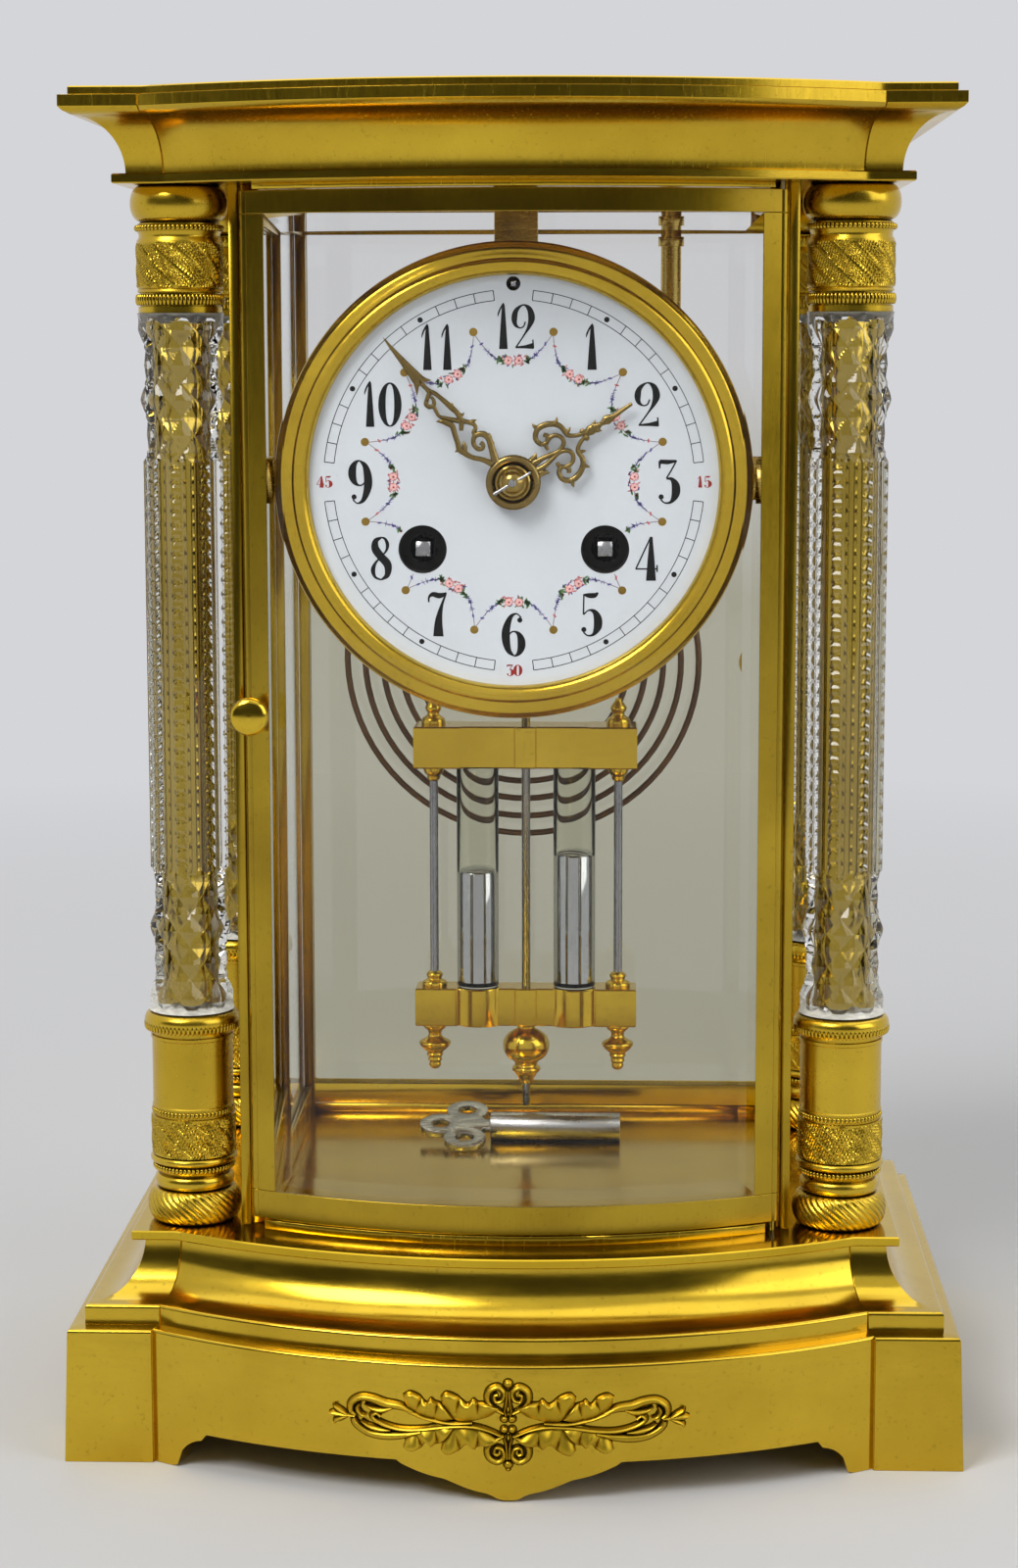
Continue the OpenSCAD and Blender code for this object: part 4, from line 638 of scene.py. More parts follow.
class CLOCK_OT_crown(bpy.types.Operator):
    """Cornice with its cove and rim, and the plates above and below it"""

    bl_idname = "clock.crown"
    bl_label = "Crown"

    def execute(self, context):
        z0, z1 = CORNICE_Z
        rim = z1 - RIM_H
        section = hollow(RIM_INSET + 3 * LIP, rim - LIP, HOLLOW_FOOT, z0)[::-1]
        section += [(RIM_INSET + LIP, rim), (RIM_INSET, rim + LIP), (RIM_INSET, z1), (RING_BACK, z1), (RING_BACK, z0)]
        piece("cornice_cove", swept(section), "gilt_satin", "cornice", 28, sizes().edge)
        piece("case_ceiling", flat_plate(PLATE_INSET, CEILING_Z, z0), "gilt", "upper_plate", 35)
        piece("case_top", flat_plate(TOP_INSET, z1, TOP_Z), "gilt_satin", "top_plate", 35)
        return {"FINISHED"}


# Ornament on the apron, each form with a painted shadow round its edge

# The two widths of the painted shadow beyond each form on the apron.
MOUNT_Z, ROOT, SHADOW_BAND, LEAF_SHADOW_BAND = 18.3, 0.3, 0.28, 0.36
LEAF_RELIEF, LEAF_LOBES, LEAF_STEPS = 2.1, 3, 49
SCROLL_RELIEF, STEM_RELIEF, BEAD_RELIEF = 1.5, 1.7, 1.3


def on_bow(x, z, out):
    return (x, float(bow_y(x)) - out, z)


def scroll(shell, points, relief):
    """Rounded stem through (x, z, half width) points, lying on the apron, with painted shadow round it."""
    path = smooth_path(points, 10)
    rows, under = [], []
    for (x, z, w), (tx, tz) in zip(path, directions(path[:, :2])):
        rows.append([on_bow(x - tz * w * math.cos(a), z + tx * w * math.cos(a), (relief + ROOT) * math.sin(a) - ROOT)
                     for a in np.linspace(0, math.pi, 9)])
        # Painted shadow: a dark flange on the apron just beyond the stem's edge.
        v = w + SHADOW_BAND
        under.append([on_bow(x - tz * v * k, z + tx * v * k, out)
                      for k, out in ((-1, 0.04), (1, 0.04), (1, -ROOT), (-1, -ROOT))])
    shell.grid(rows)
    shell.grid(under, mark=1)


def evenly(points, n):
    """The points of a smooth curve, spaced evenly along it."""
    path = smooth_path(points, 12)
    way = np.concatenate([[0], np.cumsum(np.linalg.norm(np.diff(path, axis=0), axis=1))])
    want = np.linspace(0, way[-1], n)
    return np.stack([np.interp(want, way, path[:, k]) for k in range(path.shape[1])], 1)


def acanthus(shell, stem, crest):
    """Leaf between its stem and its crest, with rounded lobes that fan out from the stem, and painted shadow round
    it.
    """
    rows, under = [], []
    for i, (a, b) in enumerate(zip(evenly(stem, LEAF_STEPS), evenly(crest, LEAF_STEPS))):
        lobe = 0.3 + 0.7 * abs(math.sin(math.pi * LEAF_LOBES * (i / (LEAF_STEPS - 1)))) ** 0.75
        row = []
        for v in np.linspace(0, 1, 13):
            rise = 0.35 + 0.65 * math.sin(math.pi * min(0.5, 0.62 * v)) - max(0.0, v - 0.84) ** 2 * 14
            row.append(on_bow(*(a + (b - a) * v), LEAF_RELIEF * rise * (1 + (lobe - 1) * (0.35 + 0.65 * v)) + 0.1))
        rows.append(row + [on_bow(*b, -ROOT), on_bow(*a, -ROOT)])
        # Painted shadow: a dark flange on the apron round the leaf.
        out = (b - a) / (np.linalg.norm(b - a) + 0.3) * LEAF_SHADOW_BAND
        under.append([on_bow(*p, h) for p, h in ((b + out, 0.05), (a - out, 0.05),
                                                 (a - out, -ROOT), (b + out, -ROOT))])
    shell.grid(rows)
    shell.grid(under, mark=1)


def bead(shell, x, z, r):
    """Half ball on the apron, with painted shadow round it."""
    ring = circle(18)
    rows = [[on_bow(x + r * math.cos(t) * c, z + r * math.cos(t) * s, BEAD_RELIEF * math.sin(t) - 0.05)
             for c, s in ring] for t in np.linspace(0, math.pi / 2, 6)]
    shell.grid([[(px, py + ROOT, pz) for px, py, pz in rows[0]]] + rows)
    # Painted shadow: a dark ring on the apron round the bead.
    v = r + SHADOW_BAND
    shell.grid([[on_bow(x + v * c, z + v * s, out) for c, s in ring] for out in (-ROOT, 0.06)], mark=1)


# Half of the mount as (across, up, half width) or (across, up) from its middle
MOUNT_LEAVES = [
    ([(1.9, 3.4), (4.8, 1.7), (9.7, 0.5), (12.2, 1.2), (14.2, 3.2), (15.0, 5.6)],
     [(1.9, 3.8), (4.6, 4.9), (6.6, 5.0), (7.7, 5.7), (9.2, 4.6), (11.4, 6.3), (13.8, 7.1), (15.1, 6.0)]),
    ([(12.2, 0.9), (15.0, 0.2), (18.6, 1.1), (21.6, 2.4), (22.9, 4.0), (23.3, 5.6)],
     [(12.4, 1.4), (14.6, 4.2), (16.4, 4.9), (17.3, 5.5), (18.4, 4.5), (19.8, 6.0), (22.0, 6.8), (23.5, 6.0)]),
]
MOUNT_SCROLLS = [
    [(1.0, 2.6, 0.45), (3.2, 3.8, 0.6), (4.5, 5.5, 0.7), (4.2, 7.6, 0.75), (2.4, 8.6, 0.75), (0.9, 7.4, 0.65),
     (1.3, 5.7, 0.55), (2.7, 5.3, 0.5), (3.1, 6.6, 0.5), (2.3, 7.0, 0.6)],
    [(0.5, 2.2, 0.35), (0.75, 3.4, 0.3), (0.4, 4.6, 0.35), (0.3, 6.4, 0.5), (0.25, 7.8, 0.5)],
]
MOUNT_STEMS = [
    [(21.4, 2.4, 0.5), (24.4, 3.4, 0.9), (27.4, 3.7, 1.05), (30.2, 4.6, 0.95), (32.9, 4.8, 0.85), (35.0, 3.5, 0.8),
     (35.3, 1.6, 0.75), (34.3, 0.7, 0.6)],
    [(26.0, 3.0, 0.4), (28.6, 2.2, 0.8), (30.8, 2.6, 0.55), (32.2, 3.4, 0.2)],
    [(33.4, 3.4, 0.3), (33.9, 2.2, 0.6), (33.2, 1.0, 0.6), (32.0, 0.7, 0.35)],
    [(19.6, -2.2, 0.5), (23.6, -3.2, 0.9), (27.6, -3.6, 1.05), (31.2, -3.2, 0.95), (34.0, -1.6, 0.85),
     (34.8, 0.0, 0.65)],
    [(26.4, -2.2, 0.3), (29.0, -2.2, 0.75), (31.4, -1.6, 0.6), (33.0, -0.5, 0.25)],
    [(1.4, -2.6, 0.4), (5.2, -1.1, 0.5), (9.0, -0.5, 0.6), (14.0, -0.8, 0.6), (20.0, -1.7, 0.6), (24.4, -1.8, 0.62),
     (28.2, -0.9, 0.65), (30.4, 0.5, 0.65), (29.6, 1.5, 0.55), (28.6, 0.8, 0.55)],
    [(8.0, 0.4, 0.4), (13.0, 0.1, 0.55), (18.4, 1.0, 0.55), (22.4, 2.5, 0.6)],
    [(34.4, 0.5, 0.5), (36.2, 0.5, 0.45), (37.4, 0.5, 0.7), (39.2, 0.6, 0.75), (40.4, 0.7, 0.1)],
    [(36.2, 0.7, 0.35), (37.6, 1.3, 0.65), (38.8, 2.1, 0.5), (39.2, 2.9, 0.08)],
    [(36.2, 0.3, 0.35), (37.6, -0.3, 0.65), (38.8, -1.0, 0.5), (39.2, -1.8, 0.08)],
]


class CLOCK_OT_apron_mount(bpy.types.Operator):
    """Cast mount on the apron: beads, scrolls and leaf sprays, each with painted shadow round it"""

    bl_idname = "clock.apron_mount"
    bl_label = "Apron mount"

    def execute(self, context):
        shell = Shell()
        for z, r in ((9.3, 1.0), (-9.2, 1.0), (-10.3, 0.45)):
            bead(shell, 0, MOUNT_Z + z, r)
        for s in (-1, 1):
            for u in (-1, 1):
                bead(shell, s * 0.85, MOUNT_Z + u * 1.25, 0.88)
                for line in MOUNT_SCROLLS:
                    scroll(shell, [(s * x, MOUNT_Z + u * z, w) for x, z, w in line], SCROLL_RELIEF)
                for leaf in MOUNT_LEAVES:
                    acanthus(shell, *([(s * x, MOUNT_Z + u * z) for x, z in line] for line in leaf))
            for line in MOUNT_STEMS:
                scroll(shell, [(s * x, MOUNT_Z + z, w) for x, z, w in line], STEM_RELIEF)
        # The second finish is the painted shadow round each form.
        piece("apron_scrolls", shell, ["gilt_mount", "patina"], "apron_mount", 50)
        return {"FINISHED"}


# Columns

COLUMN_X, COLUMN_Y = 76.1, (-31.9, 61.154)
COLUMNS = {"front_left": (-COLUMN_X, COLUMN_Y[0]), "front_right": (COLUMN_X, COLUMN_Y[0]),
           "back_left": (-COLUMN_X, COLUMN_Y[1]), "back_right": (COLUMN_X, COLUMN_Y[1])}
BAND_R, COLUMN_SIDES, CAPITAL_H, END_GAP = 9.8, 324, 28.5, 0.02
CORE_R, CORE_INSET = 5.3, 1.6
RIDGE_H, PEBBLE_H, PEBBLE_SINK, BAND_FADE, BAND_REPEATS, BAND_SLANT = 0.22, 0.4, 0.28, 0.5, 12, 2.2
BUN_SWELL, BUN_LOBES, BUN_SLANT = 0.5, 36, 0.72
BEAD_STRETCH, REED_STRETCH, REED_SHARE = 1.45, 2.7, 0.95
SHAFT_SIDES, DIAMOND_SIDES, CUT_ZONE, FIRST_DIAMOND, DIAMOND_PITCH, DIAMOND_CUT = 96, 12, 32.8, 3.8, 7.9, 0.95
FLUTE_R, FLUTE_CUT, NOTCH_PITCH, NOTCH_MARGIN, SHAFT_TURN = 9.05, 1.0, 3.3, 0.8, 8
SHAFT_WAVE = [(0, 9.95), (4, 9.7), (11.8, 8.5), (19.6, 9.45), (27.4, 8.15), (32.8, 9.05)]
NOTCH = ((0.0, 0.0), (0.24, 0.06), (0.46, 0.34), (0.6, 0.85), (0.74, 0.34), (0.9, 0.06))


def engraved(z0, z1):
    """Relief of the engraved band: slanted triple ridges with pebbled ground between them."""
    def field(a, z):
        if not z0 < z < z1:
            return 0.0
        fade = min(1.0, (z - z0) / BAND_FADE, (z1 - z) / BAND_FADE)
        along = (z - z0) / (z1 - z0)
        t = (a * BAND_REPEATS / (2 * math.pi) + along * BAND_SLANT) % 1.0
        if t < 0.24:
            ridges = sum(max(0.0, 1 - abs(t - c) / 0.03) for c in (0.02, 0.12, 0.22))
            return fade * (RIDGE_H * ridges + 0.02)
        u, v = a * BAND_REPEATS * 7 / (2 * math.pi) + BAND_SLANT * 3 * along, along * 12
        pebble = 0.5 + 0.5 * math.cos(2 * math.pi * u) * math.cos(2 * math.pi * v + 1.7 * math.sin(5 * a))
        return fade * (PEBBLE_H * pebble - PEBBLE_SINK)
    return field


def bun(z0, z1):
    """Relief of a swirled bun."""
    def field(a, z):
        if not z0 < z < z1:
            return 0.0
        t = (z - z0) / (z1 - z0)
        lobe = abs(math.sin(0.5 * BUN_LOBES * (a + BUN_SLANT * t)))
        return BUN_SWELL * math.sin(math.pi * t) ** 0.3 * (lobe ** 0.8 - 0.7)
    return field


def bulge(r, z0, z1, swell, n):
    """Half round of a turned profile."""
    return [(r + swell * math.sin(t), z0 + (z1 - z0) * (1 - math.cos(t)) / 2) for t in np.linspace(0, math.pi, n + 1)]


def straight(r, z0, z1, step):
    return [(r, z) for z in np.linspace(z0, z1, max(2, int((z1 - z0) / step)))]


def on_band(z, *rows):
    """(radius, height) rows that count from the column's band and from z."""
    return [(BAND_R + r, z + h) for r, h in rows]


def bead_tree():
    """Geometry Nodes: a stretched bead on every point."""
    grow = Grower("bead_ring", ("Bead radius", "Stretch"))
    ball = grow.add("GeometryNodeMeshUVSphere", {"Segments": 8, "Rings": 6, "Radius": grow.given["Bead radius"]})
    tall = grow.vector(X=1.0, Y=1.0, Z=grow.given["Stretch"])
    return grow.finish(grow.on_points(ball.outputs["Mesh"], "Z", Scale=tall))


def crystal(x, y):
    """Cut shaft of a column: swelling diamonds at both ends and notched flutes between them."""
    low, high = SHAFT_Z
    n, around = SHAFT_SIDES, DIAMOND_SIDES
    wave = smooth_path(SHAFT_WAVE, 12)
    start, end = low + CUT_ZONE + NOTCH_MARGIN, high - CUT_ZONE - NOTCH_MARGIN
    notches = round((end - start) / NOTCH_PITCH)
    step = (end - start) / notches
    ends = [(0.0, 0)] + [(FIRST_DIAMOND + DIAMOND_PITCH * j / around, j) for j in range(-5, 45)]
    rows = [(low + s, s, j) for s, j in ends]
    rows += [(start + step * (k + t), cut, None) for k in range(notches) for t, cut in NOTCH]
    rows += [(end, 0.0, None)] + [(high - s, s, j) for s, j in ends[::-1]]
    made, faces = [], []
    for z, s, j in rows:
        ring = []
        for i in range(n):
            if j is None:
                t = ((i + 3) % around - 2) / (around - 4)
                q = FLUTE_R - (s if t < 0 or t > 1 else FLUTE_CUT * math.sin(math.pi * t) ** 0.8)
            else:
                boss = 2 * min(abs((i + j) / around % 1 - 0.5), abs((i - j) / around % 1 - 0.5))
                q = np.interp(s, wave[:, 0], wave[:, 1]) - DIAMOND_CUT * min(1.0, s / 3) * (1 - boss) ** 1.25
            a = 2 * math.pi * i / n + math.radians(SHAFT_TURN if x < 0 else 360 - SHAFT_TURN)
            ring.append((x + q * math.cos(a), y + q * math.sin(a), z))
        made.append(ring)
    for k, ((_, _, j), (_, _, above_j)) in enumerate(zip(rows, rows[1:])):
        for i in range(n):
            a, b = k * n + i, k * n + (i + 1) % n
            c, d = b + n, a + n
            if j is None or above_j is None:
                across = i % 2 == 0
            elif above_j >= j:
                across = (i + j) % around == 5
            else:
                across = (i - j) % around != 6
            faces += [(a, b, d), (b, c, d)] if across else [(a, b, c), (a, c, d)]
    shell = Shell()
    shell.add([p for ring in made for p in ring], faces)
    for ring in (made[0][::-1], made[-1]):
        shell.add(ring, [tuple(range(n))], 1)
    return shell


class CLOCK_OT_columns(bpy.types.Operator):
    """Four cut-glass columns with engraved bases and capitals"""

    bl_idname = "clock.columns"
    bl_label = "Columns"

    def execute(self, context):
        (low, high), z, c = SHAFT_Z, FLOOR_Z, CEILING_Z - CAPITAL_H
        base = [(0, z)] + bulge(BAND_R - 1.1, z, z + 7.9, 2.2, 30) + bulge(BAND_R - 1.5, z + 8.1, z + 11.4, 1.0, 10)
        base += on_band(z, (-1.4, 11.8), (-0.9, 12.3), (-0.75, 13.8))
        base += bulge(BAND_R - 0.5, z + 14.1, z + 16.0, 0.95, 8)
        base += straight(BAND_R, z + 16.2, z + 25.4, 0.24)
        base += on_band(z, (-0.45, 25.6), (-0.45, 27.5), (-0.15, 27.6), (-0.15, 27.9))
        base += straight(BAND_R - 0.35, z + 28.1, z + 43.8, 3)
        base += on_band(z, (-0.1, 44.0), (-0.1, 44.7), (-0.5, 44.9), (-0.4, 46.0))
        base += bulge(BAND_R - 0.2, z + 46.2, z + 50.2, 1.5, 16) + [(BAND_R - 0.6, low - END_GAP), (0, low - END_GAP)]
        top = [(0, high + END_GAP), (BAND_R - 0.25, high + END_GAP)]
        top += on_band(c, (-0.25, 1.4), (-0.6, 1.5), (-0.6, 4.5), (-0.2, 4.6), (0.0, 4.9), (-0.3, 5.4))
        top += straight(BAND_R, c + 5.7, c + 15.7, 0.24)
        top += on_band(c, (-0.1, 15.9), (-0.1, 16.2), (-0.55, 16.8), (-0.6, 17.6), (-0.4, 17.9), (-0.4, 20.0),
                       (-0.9, 20.3))
        top += bulge(BAND_R - 1.0, c + 20.5, c + 28.5, 2.3, 18) + [(0, c + 28.5)]
        swirl, band, head = bun(z + 0.3, z + 7.8), engraved(z + 16.2, z + 25.4), engraved(c + 5.7, c + 15.7)
        parts = (("base", base, lambda a, h: swirl(a, h) + band(a, h), "column_bases"),
                 ("capital", top, head, "column_capitals"))
        for name, (x, y) in COLUMNS.items():
            for label, profile, field, node in parts:
                shell = Shell()
                shell.lathe(profile, (x, y, 0), COLUMN_SIDES, field=field)
                stands_for = node if name == "front_left" else ()
                piece(f"column_{label}_{name}", shell, "gilt_chased", stands_for)
        bead_rings = [(z + 13.1, BAND_R - 0.55), (z + 26.55, BAND_R - 0.5), (c + 19.0, BAND_R - 0.05)]
        reed_rings = [(z + 47.2, BAND_R + 0.95), (c + 3.0, BAND_R - 0.05)]
        tree, small = bead_tree(), sizes().bead
        for label, rings, n, radius, stretch in (
                ("beads", bead_rings, sizes().beads_round, small, BEAD_STRETCH),
                ("reeds", reed_rings, sizes().reeds_round, small * REED_SHARE, REED_STRETCH)):
            points, turns = [], []
            for x, y in COLUMNS.values():
                for h, out in rings:
                    for a in np.linspace(0, 2 * math.pi, n, endpoint=False):
                        points.append((x + out * math.cos(a), y + out * math.sin(a), h))
                        turns.append(float(a))
            values = {"Bead radius": radius, "Stretch": stretch, "Finish": material("gilt_cast")}
            made = grown(f"column_{label}", tree, values, points, turns)
            piece(f"column_{label}", made, "gilt_cast", (), 60)
        cores = Shell()
        for x, y in COLUMNS.values():
            cores.lathe([(CORE_R, low + CORE_INSET), (CORE_R, high - CORE_INSET)], (x, y, 0), 48)
        # The cores take a darker brass: painted shade.
        piece("column_cores", cores, "core")
        for name, (x, y) in COLUMNS.items():
            piece(f"column_crystal_{name}", crystal(x, y), ["cut", "ground"], f"column_shaft_{name}", 9)
        return {"FINISHED"}


# Doors and panes

DOOR_R, DOOR_CY, DOOR_T = 142.046, 87.7461, 3.4
HINGE_X, HINGE_Y = 60.0, -39.128
WINDOW_X, WINDOW_LOW, WINDOW_HIGH = 55.8, 60.1, 284.7
RABBET_FACE, RABBET_W, GLASS_PLAY, SEAM = 1.2, 1.7, 0.1, 0.04
FRONT_GLASS_T, FRONT_EDGE_T, SIDE_EDGE_T, BACK_EDGE_T = 1.9, 0.9, 1.0, 0.8
KNOB_STEM = 0.9
KNOB = [(0.5, 5.3), (0.44, 4.2), (0.6, 3.6), (0.92, 3.0), (1.0, 2.2), (0.97, 1.3), (0.8, 0.6), (0.45, 0.15), (0, 0)]


def on_door(x, inset, z):
    """Point of the bowed door at a depth under its face."""
    r = DOOR_R - inset
    return (x, DOOR_CY - math.sqrt(r * r - x * x), z)


def pane(surface, us, vs, bevel, thick, thin):
    """Closed pane; surface(u, v, depth) gives a point, and the face side thins towards the edge."""
    def lines(a, b):
        return [a, a + bevel] + list(np.linspace(a + bevel, b - bevel, 26)[1:-1]) + [b - bevel, b]
    across, up = lines(*us), lines(*vs)
    front, back = [], []
    for v in up:
        for u in across:
            edge = min(u - us[0], us[1] - u, v - vs[0], vs[1] - v)
            front.append(surface(u, v, (thick - thin) * max(0.0, 1 - edge / bevel)))
            back.append(surface(u, v, thick))
    n, m = len(across), len(up)
    faces = []
    for j in range(m - 1):
        for i in range(n - 1):
            a, b, c, d = j * n + i, j * n + i + 1, (j + 1) * n + i + 1, (j + 1) * n + i
            main = (i < n / 2) == (j < m / 2)
            faces += [(a, b, c), (a, c, d)] if main else [(a, b, d), (b, c, d)]
            faces += [(a + n * m, d + n * m, c + n * m, b + n * m)]
    rim = [*range(n), *range(2 * n - 1, n * m, n), *range(n * m - 2, n * m - n - 1, -1), *range(n * m - 2 * n, 0, -n)]
    for a, b in zip(rim, rim[1:] + rim[:1]):
        faces.append((b, a, a + n * m, b + n * m))
    shell = Shell()
    shell.add(front + back, faces)
    return shell


class CLOCK_OT_doors(bpy.types.Operator):
    """Bowed front door with its bevelled pane, and the other panes"""

    bl_idname = "clock.doors"
    bl_label = "Doors and panes"

    def execute(self, context):
        z0, z1 = node_span("front_door_frame", 2)
        rails = Shell()
        for a, b, inner in ((z0, WINDOW_LOW - SEAM, 1), (z1, WINDOW_HIGH + SEAM, -1)):
            seat = b - inner * RABBET_W
            section = [(0, a), (0, b), (RABBET_FACE, b), (RABBET_FACE, seat), (DOOR_T, seat), (DOOR_T, a)]
            rails.grid([[on_door(x, d, z) for d, z in section] for x in np.linspace(-HINGE_X, HINGE_X, 65)])
        seat = WINDOW_X + RABBET_W
        section = [(WINDOW_X, 0), (WINDOW_X, RABBET_FACE), (seat, RABBET_FACE), (seat, DOOR_T),
                   (HINGE_X, DOOR_T), (HINGE_X, 0)]
        edges = ((z0 + SEAM / 2, WINDOW_LOW), (WINDOW_LOW + SEAM, WINDOW_HIGH - SEAM), (WINDOW_HIGH, z1 - SEAM / 2))
        for s in (-1, 1):
            stile = [on_door(s * x, d, 0)[:2] for x, d in section]
            rails.grid([at(stile, z) for z in (WINDOW_LOW, WINDOW_HIGH)])
            for ends in edges:
                rails.lathe([(DOOR_T / 2, z) for z in ends], (s * HINGE_X, HINGE_Y, 0), 24)
        # The rails take the darker copy of the gilt: painted shade.
        piece("front_door_rails", rails, "gilt_toned", "front_door_frame", 30, sizes().edge * 0.6, "front_door")
        bevel = sizes().pane_bevel / MM
        reach, seat = RABBET_W - GLASS_PLAY, RABBET_FACE + GLASS_PLAY
        glass = pane(lambda u, v, d: on_door(u, seat + d, v), (-WINDOW_X - reach, WINDOW_X + reach),
                     (WINDOW_LOW - reach, WINDOW_HIGH + reach), bevel, FRONT_GLASS_T, FRONT_EDGE_T)
        piece("front_pane", glass, "front_pane", "front_glass", 8, body="front_door")
        for name, sign in (("left", -1), ("right", 1)):
            (x0, y0, z0), (x1, y1, z1) = node_box(f"side_glass_{name}")
            out = x1 if sign > 0 else x0
            glass = pane(lambda u, v, d: (out - sign * d, u, v), (y0, y1), (z0, z1), bevel, x1 - x0, SIDE_EDGE_T)
            piece(f"side_pane_{name}", glass, "pane", f"side_glass_{name}", 8)
        (x0, y0, z0), (x1, y1, z1) = node_box("back_glass")
        glass = pane(lambda u, v, d: (u, y1 - d, v), (x0, x1), (z0, z1), bevel, y1 - y0, BACK_EDGE_T)
        piece("back_pane", glass, "back_pane", "back_glass", 8, body="back_door")
        (x0, y0, z0), (x1, y1, z1) = node_box("front_knob")
        r, knob = (x1 - x0) / 2, Shell()
        profile = [(0, y1), (KNOB_STEM, y1), (KNOB_STEM, y0 + 5.4)] + [(r * k, y0 + d) for k, d in KNOB]
        knob.lathe(smooth_path(profile, 4), ((x0 + x1) / 2, 0, (z0 + z1) / 2), 40, axis="y")
        piece("front_pull", knob, "gilt", "front_knob", body="front_door")
        return {"FINISHED"}


# Dial

ENAMEL_R, BEZEL_R, WINDING, HOLE_R = 46.4, 54.0, (20.7, DIAL_Z - 15.3), 5.8
NUMERAL_R, NUMERAL_H, QUARTER_R, QUARTER_H = 34.8, 10.0, 0.925 * ENAMEL_R, 2.6
TRACK_IN, TRACK_OUT = 0.88 * ENAMEL_R, 0.928 * ENAMEL_R
TRACK_R, TRACK_GAP, TRACK_LINE, BAR_W = (TRACK_IN + TRACK_OUT) / 2, 6.0, 0.085, 0.19
PRINT_ROOT, HAIR, THICK = 0.02, 0.017, 0.088
GARLAND_R, GARLAND_RISE, GARLAND_SPAN, STRING_W = 27.2, 7.2, 15.0, 0.085
BEZEL_LIP = [(-0.1, 0.0), (0.0, -0.9), (0.35, -1.9), (1.0, -2.5), (1.9, -2.8), (2.8, -2.65),
             (3.5, -2.2), (3.75, -1.75), (4.2, -1.7), (4.6, -1.55), (5.4, -1.35)]
BEZEL_WALL = [(-1.6, -1.25), (-1.2, -1.0), (-0.9, -0.55), (-0.5, -0.35), (-0.15, 0.1), (0.0, 0.8),
              (0.0, 2.8), (-1.0, 3.6), (-2.0, 4.0), (-2.0, 18.0), (-3.5, 18.0), (-3.5, 0.0)]


def clock_point(r, turn, lift=0.0):
    """Point on the dial at a radius and an angle clockwise from twelve, raised towards the viewer."""
    a = math.radians(turn)
    return (r * math.sin(a), DIAL_Y - lift, DIAL_Z + r * math.cos(a))


def ribbon(shell, sides, lift, mark=0):
    """Flat print between pairs of (x, z) points of its two sides."""
    rows = []
    for (x0, z0), (x1, z1) in sides:
        top, root = DIAL_Y - lift, DIAL_Y + PRINT_ROOT
        rows.append([(x0, top, z0), (x1, top, z1), (x1, root, z1), (x0, root, z0)])
    shell.grid(rows, mark=mark)


def stroke(shell, path, lift, mark=0, place=lambda x, y: (x, y)):
    """Thin inked ribbon along (x, y, half width) points; place puts (x, y) on the dial."""
    path = np.asarray(path, float)
    ribbon(shell, [(place(x - ty * w, y + tx * w), place(x + ty * w, y - tx * w))
                   for (x, y, w), (tx, ty) in zip(path, directions(path[:, :2]))], lift, mark)


def blob(shell, x, z, r, lift, mark=0, sides=10):
    """Thin drop of colour on the dial."""
    shell.grid([[(x + r * k * c, DIAL_Y + depth, z + r * k * s) for c, s in circle(sides)]
                for depth, k in ((PRINT_ROOT, 1.0), (-lift * 0.6, 1.0), (-lift, 0.8))], mark=mark)


def ball_end(x, y, r):
    return [(x - r, y, 0.01), (x - r * 0.7, y, r * 0.71), (x, y, r), (x + r * 0.7, y, r * 0.71), (x + r, y, 0.01)]


def bowl(cx, cy, rx, ry, a0, a1, peak, thick=THICK, n=36):
    """Arc of a figure whose weight swells at the peak angle; angles in degrees, anticlockwise from the right."""
    made = []
    for a in np.linspace(a0, a1, n):
        swell = max(0.0, math.cos(math.radians(a - peak))) ** 1.6
        made.append((cx + rx * math.cos(math.radians(a)), cy + ry * math.sin(math.radians(a)),
                     HAIR + (thick - HAIR) * swell))
    return made


def curve(*points):
    return smooth_path(points)


